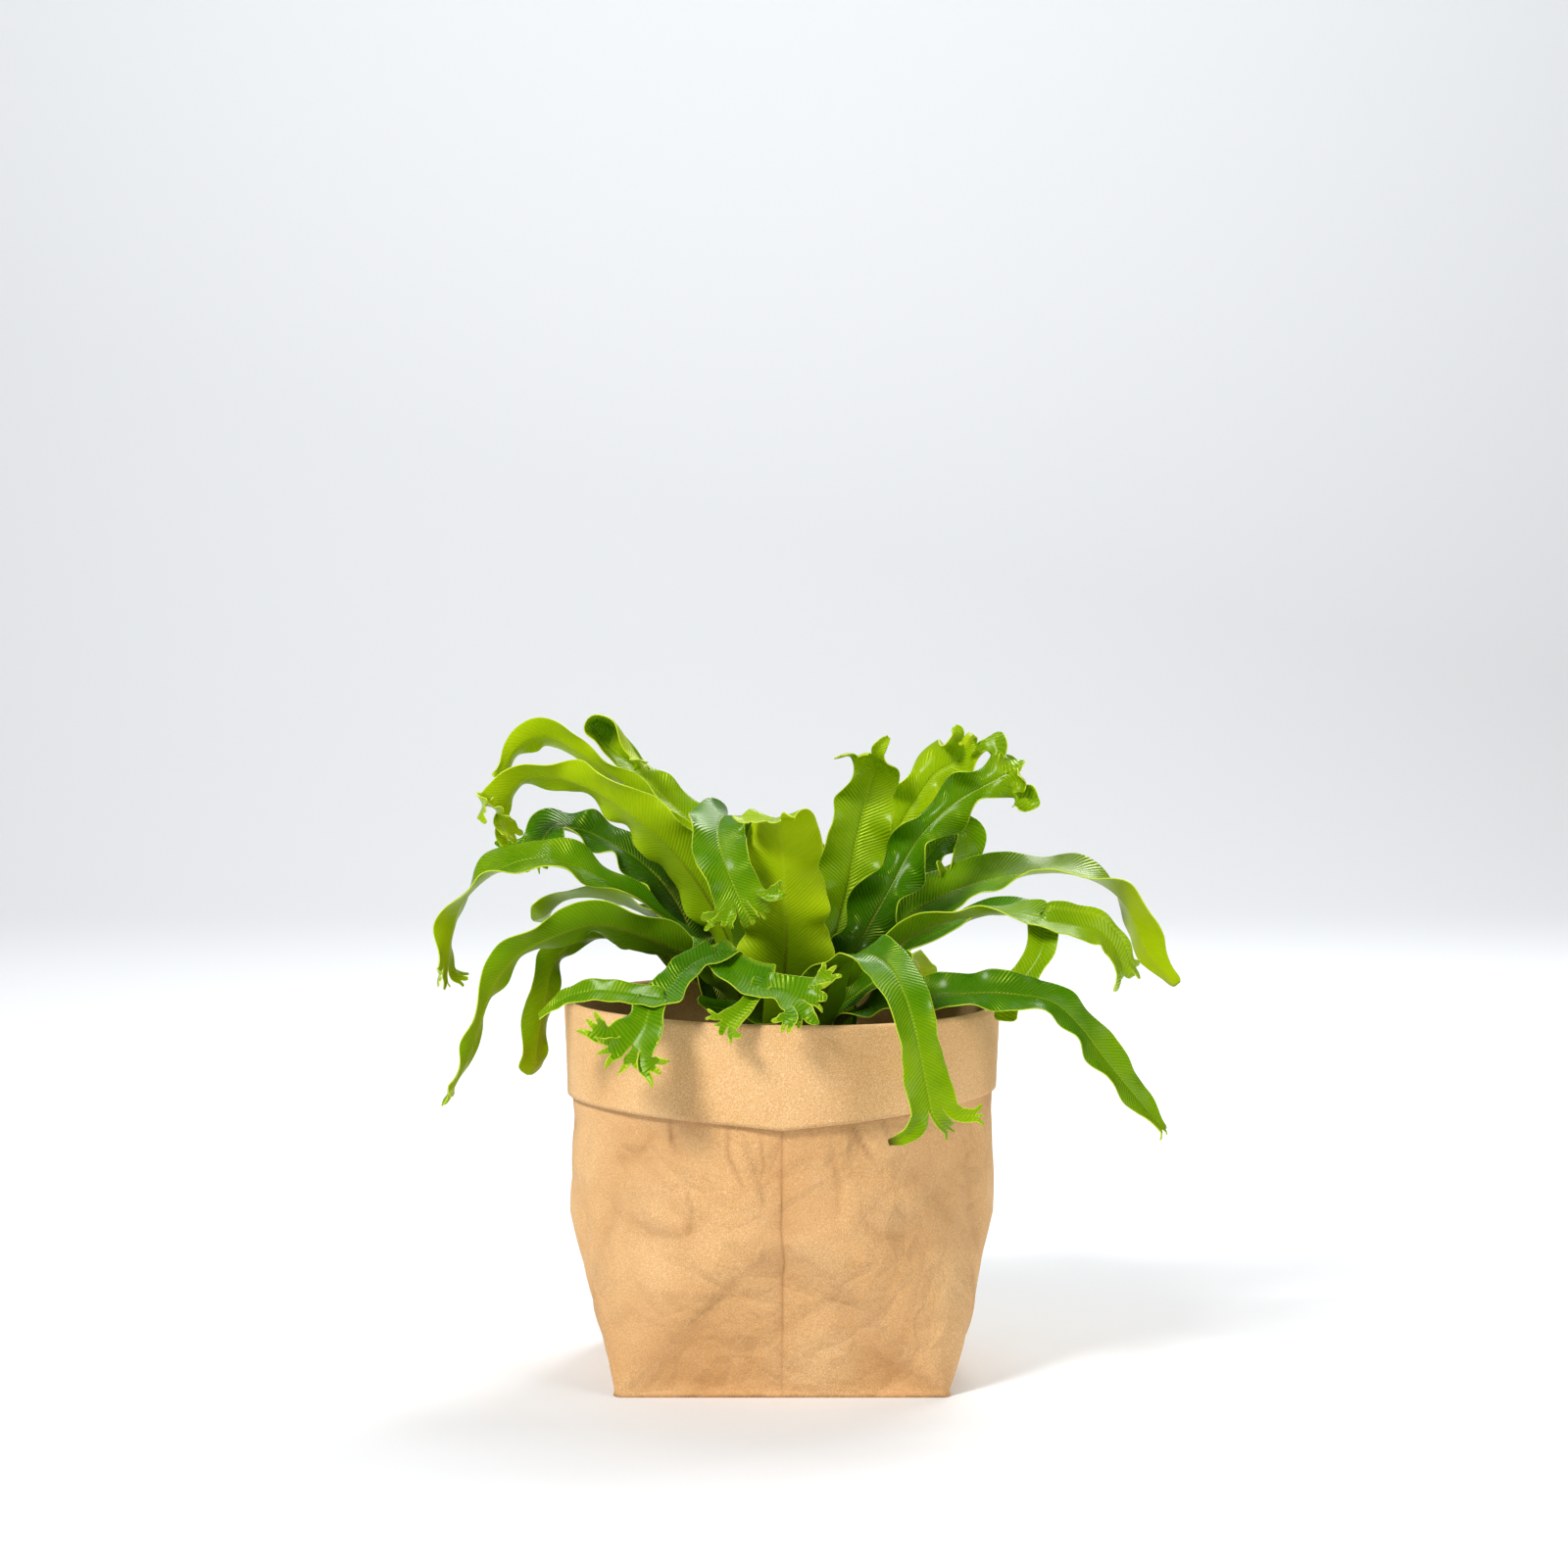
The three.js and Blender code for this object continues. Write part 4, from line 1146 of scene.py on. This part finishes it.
# %% Forks
def deal(row, frame, forks, bm, chance, ruffle):
    """Deals the last row out among forks, which are dicts with a share of its columns."""
    columns = len(row) - 1
    forks = forks[:columns]
    total = sum(fork.get("share", 1) for fork in forks)
    begin, passed = 0, 0.0
    for k, fork in enumerate(forks):
        later = len(forks) - 1 - k
        passed += fork.get("share", 1)
        end = max(begin + 1, round(passed / total * columns)) if later else columns
        end = min(end, columns - later)
        part = row[begin : end + 1]
        begin = end
        middle = part[0].place.lerp(part[-1].place, 0.5)
        if "rib" in fork:
            points = [middle] + [over_mouth(point) for point in fork["rib"]]
            frames = rib_frames(points, fork["faces"])
            widths = (fork["half"] * MM, fork["shares"], 0.0)
        else:
            turns = [fork.get(key, 0) for key in ("fan", "curl", "twist")]
            frames = turning_frames((middle, *frame[1:]), fork["length"] * MM, *turns)
            widths = ((part[-1].place - part[0].place).length / 2, fork["flare"], THINNEST)
        last, last_frame = grow(bm, part, frames, widths, ruffle, chance, fork.get("dry", 0.0))
        if fork.get("forks"):
            deal(last, last_frame, fork["forks"], bm, chance, ruffle)

# %% [markdown]
# ## Crests
# `frill` deals the tip out into lobes that fan apart, each ending in short fingers. `tip` lets the
# blade run out in a point. Chance varies every lobe, from a fixed seed.

# %% Crests
FINGER_FAN = 34  # degrees to each side
POINTED = (1, 0.8, 0.45, 0.1)
dice = random.Random(21)


def fingers(count, length):
    """Short pointed teeth at the end of a lobe."""
    made = []
    for k in range(count):
        fan = 0 if count == 1 else FINGER_FAN * (2 * k / (count - 1) - 1)
        made.append({
            "length": length * dice.uniform(0.7, 1.3),
            "fan": fan + dice.uniform(-14, 14),
            "curl": dice.uniform(-35, 35),
            "flare": POINTED,
        })
    return made


def tip(length, curl=0, dry=0.0):
    return [{"length": length, "curl": curl, "flare": (1, 0.8, 0.45, 0.08), "dry": dry}]


def frill(lobes, length, fan, curl=(0, 40), count=(2, 3), finger=3.5, spread=1.5):
    """Lobes that fan to each side, widen to spread times their start, and end in fingers."""
    made = []
    for k in range(lobes):
        place = 0 if lobes == 1 else 2 * k / (lobes - 1) - 1
        made.append({
            "share": dice.uniform(0.8, 1.3),
            "length": length * dice.uniform(0.75, 1.2),
            "fan": place * fan + dice.uniform(-8, 8),
            "curl": dice.uniform(*curl),
            "twist": dice.uniform(-35, 35),
            "flare": (1, 0.5 + spread / 2, spread, spread * 0.95),
            "forks": fingers(dice.randint(*count), finger) if finger else tip(3),
        })
    return made


print("a finger fans up to", FINGER_FAN, "degrees")

# %% [markdown]
# ## Building a frond
# The foot is a narrow stipe. The blade grows from it, its last row is dealt out to the crest, and the
# rows weld into one surface. Solidify gives it the thickness of a leaf and puts the underside and the
# edge in their own materials, and one level of subdivision rounds the edge.

# %% Frond builder
LEAF_THICKNESS = 0.7 * MM
STIPE = 2.1 * MM
CREST_DEPTH, CREST_WAVE = 0.5, 0.45  # the ruffle of a crest, as shares of the blade's own
BLADE = (0.14, 0.3, 0.65, 0.92, 1, 0.96, 0.9, 0.85, 0.8)  # the usual shares of the half width


def measure(bm, layers, shade_and_tone):
    """Writes each point's rise and the frond's tone, its brightness with its painted shade, and its
    place on the blade as a UV map.
    """
    longest = max(vert[layers["run"]] for vert in bm.verts)
    for vert in bm.verts:
        vert[layers["rise"]] = vert[layers["run"]] / longest
        vert[layers["shade_and_tone"]] = shade_and_tone
    blade = bm.loops.layers.uv.new("blade")
    for face in bm.faces:
        for loop in face.loops:
            loop[blade].uv = (loop.vert[layers["across"]], loop.vert[layers["run"]])


def frond(
    name, shade_and_tone, foot, half, rib, faces, ruffle, crest,
    shares=BLADE, columns=COLUMNS,
):
    """Draws one frond from foot to crest and makes it a piece. Its lengths are in millimetres."""
    chance = random.Random(name + "_frond")
    bm = bmesh.new()
    layers = {key: bm.verts.layers.float.new(key) for key in (*CARRIED, "rise", "shade_and_tone")}
    frames = rib_frames(crown_points(*foot) + [over_mouth(point) for point in rib], faces)
    depth, wave = ruffle[0] * MM, ruffle[1] * MM
    start = []
    for j in range(columns + 1):
        s = 2 * j / columns - 1
        place = frames[0][0] + frames[0][2] * s * STIPE
        start.append(Point(place, s * half * MM, 0.0, abs(s), 0.0))
    widths = (half * MM, shares, STIPE)
    last, last_frame = grow(bm, start, frames, widths, (depth, wave), chance)
    deal(last, last_frame, crest, bm, chance, (depth * CREST_DEPTH, wave * CREST_WAVE))
    bmesh.ops.remove_doubles(bm, verts=bm.verts, dist=0.02 * MM)
    measure(bm, layers, shade_and_tone)
    piece = finished(name + "_frond", bm, leaf, "frond_" + name)
    thick = thicken(piece, LEAF_THICKNESS, -1)
    thick.material_offset = 1
    thick.material_offset_rim = 2
    soft = piece.modifiers.new("round_edge", "SUBSURF")
    soft.levels = soft.render_levels = 1


print("leaves are", LEAF_THICKNESS, "m thick")

# %% [markdown]
# ## The fronds
# `foot` is a frond's turn round the crown and its lift up the dome in degrees, `half` its widest half
# width and `shares` what part of that it has from foot to tip, the tone how bright it is, partly its
# own green and partly painted shade, low on fronds that sit in the shade of others, `ruffle` the depth
# and the length of the waves along its margins, and `crest` what its tip does. The first eight arch to
# the left, the longest below the rim.

# %% Fronds on the left
frond(
    "left_high", shade_and_tone=0.75, foot=(192, 45), half=12,
    shares=(0.14, 0.25, 0.55, 1, 1.15, 1, 0.8, 0.7, 0.8),
    rib=[(-16, 0, 3), (-31, -3, 40), (-46, -7, 63), (-64, -10, 81), (-84, -8, 95), (-105, -6, 102),
         (-120, -6, 101), (-129, -8, 90)],
    faces=[(0, 1, 0.3), (0, 0.8, 0.6), (-0.3, 0.6, 0.7)],
    ruffle=(3.2, 34), crest=frill(4, 12, 45, curl=(40, 100), finger=4.5, spread=2.4),
)
frond(
    "left_upper", shade_and_tone=0.7, foot=(162, 45), half=8,
    shares=(0.14, 0.3, 0.6, 0.8, 0.9, 0.8, 0.5, 1, 0.5),
    rib=[(-14, 10, 2), (-26, 20, 37), (-45, 26, 69), (-70, 30, 94), (-90, 30, 108), (-104, 30, 117),
         (-114, 28, 119), (-125, 26, 113), (-131, 25, 103)],
    faces=[(0, 1, 0.3), (-0.1, 0.6, 0.8), (0, 0.7, 0.7), (-0.5, 0.8, 0.4)],
    ruffle=(2.8, 30), crest=frill(2, 9, 25, curl=(10, 70)),
)
frond(
    "left_top", shade_and_tone=0.75, foot=(132, 45), half=12,
    shares=(0.14, 0.3, 0.65, 0.92, 1, 0.9, 0.7, 0.85, 0.75),
    rib=[(-9, 17, 6), (-22, 35, 45), (-38, 48, 72), (-57, 55, 89), (-73, 58, 105), (-85, 58, 115),
         (-89, 56, 124), (-81, 51, 124), (-69, 45, 108)],
    faces=[(0.3, -1, 0.2), (0.4, -0.9, 0.2), (0.6, -0.8, 0.3), (0.9, -0.5, 0.2), (0, -0.3, -1)],
    ruffle=(2.2, 32), crest=frill(3, 5, 40, finger=2.5),
)
frond(
    "left_dark", shade_and_tone=0.1, foot=(184, 15), half=13,
    rib=[(-27, -2, -8), (-38, 3, 18), (-50, 12, 44), (-65, 18, 60), (-81, 20, 70), (-95, 19, 76),
         (-107, 16, 77), (-112, 10, 71)],
    faces=[(0, 0, 1), (0, -0.5, 0.9), (-0.3, -0.5, 0.8)],
    ruffle=(3.2, 26), crest=frill(6, 13, 80, curl=(-90, 90), finger=5, spread=2.2),
)
frond(
    "left_long", shade_and_tone=0.5, foot=(203, 15), half=15,
    shares=(0.14, 0.14, 0.16, 0.14, 0.5, 0.9, 1, 0.8, 0.5),
    rib=[(-25, -12, 7), (-44, -18, 32), (-64, -22, 47), (-81, -25, 56), (-96, -27, 63),
         (-113, -29, 66), (-131, -31, 60), (-146, -32, 46), (-151, -33, 32), (-153, -34, 18)],
    faces=[(0, -0.3, 1), (0, -0.5, 0.9), (-0.3, -0.4, 0.8), (-0.8, 0.4, 0.3)],
    ruffle=(2.4, 34), crest=frill(3, 8, 60, spread=1.2),
)
frond(
    "left_round", shade_and_tone=0.45, foot=(148, 15), half=14,
    rib=[(-27, 14, 1), (-49, 26, 26), (-73, 34, 39), (-91, 38, 43), (-104, 40, 41), (-112, 38, 34)],
    faces=[(0, 0.2, 1), (0, 0.3, 1), (-0.4, 0.3, 0.8)],
    ruffle=(2.5, 36), crest=tip(6),
)
frond(
    "left_low", shade_and_tone=0.35, foot=(222, 15), half=11,
    shares=(0.14, 0.3, 0.65, 0.92, 1, 0.96, 0.8, 0.55, 0.4),
    rib=[(-21, -18, 0), (-35, -28, 18), (-52, -36, 27), (-70, -42, 35), (-85, -46, 38),
         (-103, -49, 33), (-119, -52, 25), (-130, -54, 12), (-136, -56, -4), (-142, -57, -22),
         (-148, -57, -34)],
    faces=[(0, 0.4, 1), (-0.1, 0.7, 0.7), (-0.5, 0.6, 0.6), (-0.9, 0.3, 0.2)],
    ruffle=(2.8, 38), crest=frill(2, 7, 40, spread=1.1),
)
frond(
    "left_hang", shade_and_tone=0.4, foot=(166, 15), half=9,
    rib=[(-28, 10, -8), (-46, 14, 12), (-66, 13, 23), (-85, 11, 27), (-100, 9, 23), (-108, 8, 12),
         (-111, 8, -2), (-114, 8, -17), (-116, 8, -32)],
    faces=[(0, 0.3, 1), (-0.2, 0.5, 0.8), (-0.6, 0.7, 0.2)],
    ruffle=(2.4, 26), crest=tip(6),
)

# %% [markdown]
# One frond at the front forks twice and hangs its crests over the cuff. Behind it stands the broadest
# blade, with a bent one beside it.

# %% Fronds at the front
frond(
    "front_fork", columns=40, shade_and_tone=0.35, foot=(246, 15), half=11,
    shares=(0.2, 0.5, 0.85, 1, 1.1, 1.3),
    rib=[(-16, -34, -6), (-23, -58, 20), (-31, -71, 29)],
    faces=[(0, -0.2, 1), (0, -0.4, 1)],
    ruffle=(1.6, 30), crest=[
        dict(
            share=1, half=8, shares=(1.2, 0.9, 0.9, 1.2), faces=[(0, -0.5, 0.9), (-0.3, -0.9, 0.5)],
            rib=[(-40, -86, 24), (-48, -95, 16), (-53, -101, 10)],
            forks=[
                dict(share=1, half=6, shares=(1, 0.9, 1, 0.8, 0.3),
                     faces=[(-0.2, -0.7, 0.7), (-0.7, -0.5, 0.5)],
                     rib=[(-66, -99, 12), (-83, -95, 13), (-96, -88, 9), (-108, -82, 0)]),
                dict(share=1.5, half=8, shares=(1, 0.9, 1.2, 1.5),
                     faces=[(-0.2, -0.8, 0.6), (-0.2, -1, 0.3)],
                     rib=[(-60, -108, 0), (-66, -111, -8)],
                     forks=frill(4, 8, 75, curl=(-30, 30), finger=6, spread=1.7)),
            ],
        ),
        dict(
            share=1.1, half=9, shares=(1.2, 0.9, 1.0, 1.3), faces=[(0, -0.5, 0.9), (0, -0.6, 0.8)],
            rib=[(-21, -86, 21), (-10, -94, 16)],
            forks=[
                dict(share=1, half=5, shares=(1.2, 0.7, 1.1),
                     faces=[(-0.2, -0.9, 0.4), (-0.4, -0.9, 0.2)],
                     rib=[(-15, -102, 8), (-24, -107, 0)],
                     forks=frill(3, 4, 55, curl=(-20, 10), finger=3)),
                dict(share=1.6, half=8, shares=(1, 0.9, 1.4),
                     faces=[(0, -0.6, 0.8), (0.3, -0.8, 0.5)],
                     rib=[(0, -99, 14), (8, -103, 11)],
                     forks=frill(4, 8, 80, curl=(-30, 30), finger=5, spread=1.7)),
            ],
        ),
    ],
)
frond(
    "front_tall", shade_and_tone=0.8, foot=(262, 45), half=18,
    shares=(0.13, 0.55, 1.05, 1.15, 1.1, 1, 0.95, 0.92, 0.8),
    rib=[(1, -28, 6), (2, -38, 32), (1, -44, 57), (0, -47, 75), (-2, -51, 86), (-6, -58, 85)],
    faces=[(0, 1, 0.3), (0, 1, 0.1), (0, 1, 0.2), (0.2, 0.3, 1)],
    ruffle=(3.2, 26), crest=frill(4, 4, 16, curl=(-60, 0), finger=0, spread=1.0),
)
frond(
    "front_bent", shade_and_tone=0.3, foot=(205, 68), half=14,
    rib=[(-9, -12, 8), (-16, -15, 44), (-20, -17, 72), (-24, -21, 85), (-28, -31, 84),
         (-29, -44, 77), (-25, -55, 64), (-19, -60, 50)],
    faces=[(0.2, 1, 0.2), (0.2, 1, 0.2), (0.1, 0.6, 0.9), (0, -0.8, 0.6), (0, -1, 0.2)],
    ruffle=(2.4, 24), crest=frill(5, 10, 80, curl=(-50, 30), spread=1.7),
)

# %% [markdown]
# The back of the plant is as full as the front: most of these arch over the rim behind, and three stand
# up and show their crests between the front ones.

# %% Fronds behind
frond(
    "back_left_low", shade_and_tone=0.25, foot=(113, 15), half=12,
    rib=[(-6, 30, 6), (-14, 55, 24), (-24, 82, 32), (-32, 106, 24), (-36, 124, 0), (-38, 132, -34)],
    faces=[(0, -0.2, 1), (0, 0, 1), (-0.2, 0.6, 0.7)],
    ruffle=(2.6, 34), crest=frill(4, 9, 55, curl=(-40, 60)),
)
frond(
    "back_left_nod", shade_and_tone=0.3, foot=(131, 15), half=10,
    rib=[(-18, 20, 1), (-30, 34, 24), (-42, 44, 42), (-52, 52, 54), (-58, 66, 59), (-60, 84, 56),
         (-58, 100, 44)],
    faces=[(0.3, -0.6, 0.7), (0.2, -0.5, 0.8), (0, 0.3, 1)],
    ruffle=(2.0, 30), crest=frill(3, 7, 40),
)
frond(
    "back_upright", shade_and_tone=0.35, foot=(98, 45), half=11,
    rib=[(2, 24, 8), (4, 38, 42), (6, 55, 62), (10, 78, 64), (12, 98, 50), (13, 112, 26)],
    faces=[(0, -1, 0.3), (0, -0.7, 0.7), (0, 0.2, 1), (0, 0.9, 0.4)],
    ruffle=(2.6, 34), crest=frill(4, 10, 60, curl=(-50, 50)),
)
frond(
    "back_tall", shade_and_tone=0.7, foot=(42, 45), half=14,
    shares=(0.14, 0.3, 0.65, 0.9, 1, 1.05, 1.05, 0.85, 0.6),
    rib=[(18, 12, 1), (25, 20, 26), (31, 25, 49), (35, 26, 71), (40, 25, 91), (43, 20, 104),
         (40, 12, 111)],
    faces=[(0, -1, 0.3), (0.1, -1, 0.2), (0.1, -1, 0.2), (0, -0.5, -0.8)],
    ruffle=(2.6, 30), crest=[
        dict(share=1, length=9, fan=-35, curl=-40, flare=(1, 1.1, 1.2, 1.1), forks=fingers(3, 3)),
        dict(share=1.6, length=4, fan=0, curl=-60, flare=(1, 1, 0.8, 0.5)),
        dict(share=1.8, length=12, fan=60, curl=70, flare=(1, 1.1, 0.8, 0.3)),
    ],
)
frond(
    "back_curled", shade_and_tone=1.0, foot=(68, 45), half=13,
    rib=[(16, 22, 2), (30, 38, 36), (44, 46, 58), (55, 50, 74), (64, 52, 88), (73, 52, 100),
         (84, 50, 107), (89, 47, 116)],
    faces=[(0, -1, 0.3), (0, -1, 0.2), (0, -1, 0.3)],
    ruffle=(8.5, 30), crest=[
        dict(share=1, length=6, fan=-60, curl=40, flare=(1, 1, 0.8, 0.2)),
        dict(share=1, length=13, fan=-10, curl=-160, flare=(0.8, 0.5, 0.6, 0.7),
             forks=fingers(2, 2)),
        dict(share=1, length=7, fan=60, curl=-40, flare=(1, 1, 0.8, 0.2)),
    ],
)
frond(
    "back_right_nod", shade_and_tone=0.4, foot=(44, 15), half=10,
    rib=[(27, 22, 0), (45, 44, 26), (64, 62, 52), (78, 68, 68), (87, 66, 72), (89, 61, 62),
         (81, 58, 50)],
    faces=[(-0.3, -0.7, 0.7), (-0.2, -0.7, 0.7), (0.1, -0.5, 0.9), (0.6, -0.7, -0.2)],
    ruffle=(2.4, 24), crest=frill(5, 9, 95, curl=(-40, 60), count=(1, 2), finger=4, spread=1.4),
)
frond(
    "back_arch", shade_and_tone=0.15, foot=(88, 15), half=12,
    rib=[(8, 30, 2), (17, 50, 20), (26, 74, 32), (34, 100, 30), (40, 122, 8), (43, 134, -24)],
    faces=[(0, -0.2, 1), (0, 0, 1), (0.2, 0.8, 0.5)],
    ruffle=(3.0, 34), crest=frill(3, 11, 60, curl=(-50, 50)),
)
frond(
    "back_right_low", shade_and_tone=0.6, foot=(66, 15), half=8,
    rib=[(20, 26, -5), (40, 60, 6), (56, 84, 10), (66, 104, 6), (70, 116, -8), (70, 122, -32)],
    faces=[(0, -0.2, 1), (0, -0.2, 1), (0.3, 0.6, 0.6)],
    ruffle=(2.0, 26), crest=tip(7),
)

# %% [markdown]
# To the right, one blade is ruffled so deeply that it looks folded, and the others reach out in long
# arches.

# %% Fronds on the right
frond(
    "right_wavy", shade_and_tone=0.32, foot=(14, 45), half=14,
    shares=(0.14, 0.3, 0.65, 0.85, 0.85, 0.68, 0.62, 0.7, 0.75),
    rib=[(24, 6, 4), (35, 10, 22), (43, 12, 36), (50, 14, 48), (57, 18, 61), (67, 22, 75),
         (81, 22, 88), (102, 19, 100)],
    faces=[(-0.3, -0.9, 0.5), (-0.2, -0.95, 0.3), (-0.2, -0.95, 0.3)],
    ruffle=(9.0, 32), crest=frill(4, 11, 85, curl=(-60, 60), finger=0, spread=2.0),
)
frond(
    "right_long", shade_and_tone=0.62, foot=(22, 15), half=15,
    shares=(0.18, 0.4, 0.75, 1, 1, 1.1, 1.12, 0.85, 0.25),
    rib=[(31, 16, 1), (50, 32, 24), (66, 38, 38), (86, 42, 47), (110, 42, 53), (137, 39, 54),
         (153, 36, 48), (162, 34, 40), (168, 31, 28), (173, 29, 17), (183, 27, 5)],
    faces=[(0, -0.5, 1), (0, -0.7, 0.7), (0.2, -0.2, 0.9), (0.5, 0.8, 0.3)],
    ruffle=(2.0, 40), crest=tip(4, dry=0.6),
)
frond(
    "right_mid", shade_and_tone=0.3, foot=(0, 15), half=10,
    rib=[(29, -4, -6), (50, -6, 16), (69, -7, 29), (92, -3, 38), (114, 0, 41), (133, 2, 38),
         (146, 2, 30), (155, 2, 20)],
    faces=[(0, -0.3, 1), (0, -0.2, 1), (0.4, -0.1, 0.9)],
    ruffle=(1.6, 36), crest=frill(2, 5, 30),
)
frond(
    "right_fork", columns=30, shade_and_tone=0.5, foot=(332, 15), half=11,
    shares=(0.2, 0.5, 0.85, 1, 1.05),
    rib=[(28, -17, -2), (46, -27, 21), (65, -32, 35), (89, -36, 41), (106, -39, 42), (117, -41, 40)],
    faces=[(0, 0.3, 1), (0, 0.6, 0.8), (0, 0.3, 0.9), (0.1, -0.3, 0.9)],
    ruffle=(1.8, 34), crest=[
        dict(share=1, half=7, shares=(1.2, 1, 0.9, 0.9), faces=[(0, -0.6, 0.8), (-0.4, -0.9, 0.2)],
             rib=[(117, -47, 26), (109, -50, 14), (103, -52, 8)],
             forks=frill(2, 9, 30, curl=(-20, 20), count=(1, 2))),
        dict(share=1.5, half=11, shares=(1, 1, 0.9, 0.7, 0.7),
             faces=[(0.1, -0.5, 0.8), (0.2, -0.7, 0.6), (0.6, -0.7, 0.3)],
             rib=[(133, -41, 37), (144, -38, 34), (151, -36, 27), (155, -35, 18)],
             forks=frill(3, 6, 35, finger=4)),
    ],
)
frond(
    "right_low", shade_and_tone=0.4, foot=(310, 15), half=11,
    shares=(0.2, 0.5, 0.9, 1, 1, 0.9, 0.75, 0.85, 0.7, 0.25),
    rib=[(26, -26, -10), (42, -44, 1), (60, -54, 5), (82, -60, 8), (104, -62, 8), (122, -60, 4),
         (135, -57, -8), (144, -54, -20), (157, -52, -36), (172, -50, -54)],
    faces=[(0, -0.3, 1), (0, -0.6, 0.8), (0.3, -0.8, 0.6), (0.5, -0.8, 0.4)],
    ruffle=(2.0, 30), crest=frill(2, 3, 40, count=(1, 2), finger=2),
)

# %% [markdown]
# The last ones lean out at the front right or are still small: the two youngest are curled at the tip,
# as every frond is when it comes up.

# %% Front right and young fronds
frond(
    "front_right", shade_and_tone=0.45, foot=(288, 15), half=11,
    shares=(0.2, 0.6, 1.1, 1.1, 1.05, 0.95, 0.85, 0.85, 0.95),
    rib=[(16, -40, -4), (24, -60, 18), (35, -78, 28), (46, -95, 25), (53, -107, 14), (58, -113, -2),
         (62, -115, -21), (65, -115, -36)],
    faces=[(0, 0.2, 1), (0, -0.1, 1), (0.2, -0.9, 0.4), (0.3, -1, 0.1)],
    ruffle=(1.8, 44), crest=[
        dict(share=1, length=13, fan=-75, curl=-30, flare=(1, 1, 0.9, 0.8), forks=fingers(3, 4)),
        dict(share=1, length=12, fan=-35, curl=30, flare=(1, 1, 1.1, 1), forks=fingers(3, 4)),
        dict(share=1.4, length=21, fan=85, curl=10, flare=(1.1, 0.9, 0.6, 0.25), dry=0.9),
    ],
)
frond(
    "front_small", shade_and_tone=0.15, foot=(267, 15), half=8,
    rib=[(0, -36, -18), (-8, -54, -7), (-20, -66, 0), (-33, -74, 4)],
    faces=[(0, -0.2, 1), (0, -0.5, 0.9)],
    ruffle=(1.4, 26), crest=tip(5),
)
frond(
    "front_right_small", shade_and_tone=0.2, foot=(302, 45), half=7,
    rib=[(20, -24, -8), (34, -34, 5), (46, -40, 14), (56, -46, 20)],
    faces=[(0, -0.5, 0.9), (0, -0.7, 0.7)],
    ruffle=(1.4, 24), crest=tip(5),
)
frond(
    "young_back", shade_and_tone=0.9, foot=(80, 68), half=4,
    rib=[(6, 8, 2), (7, 12, 22)],
    faces=[(0, -1, 0.3), (0, -1, 0)],
    ruffle=(0.6, 14), crest=tip(4, curl=120),
)
frond(
    "young_front", shade_and_tone=0.9, foot=(320, 68), half=4,
    rib=[(11, -6, -4), (14, -10, 14)],
    faces=[(0, 1, 0.3), (0, 1, 0)],
    ruffle=(0.6, 14), crest=tip(4, curl=120),
)
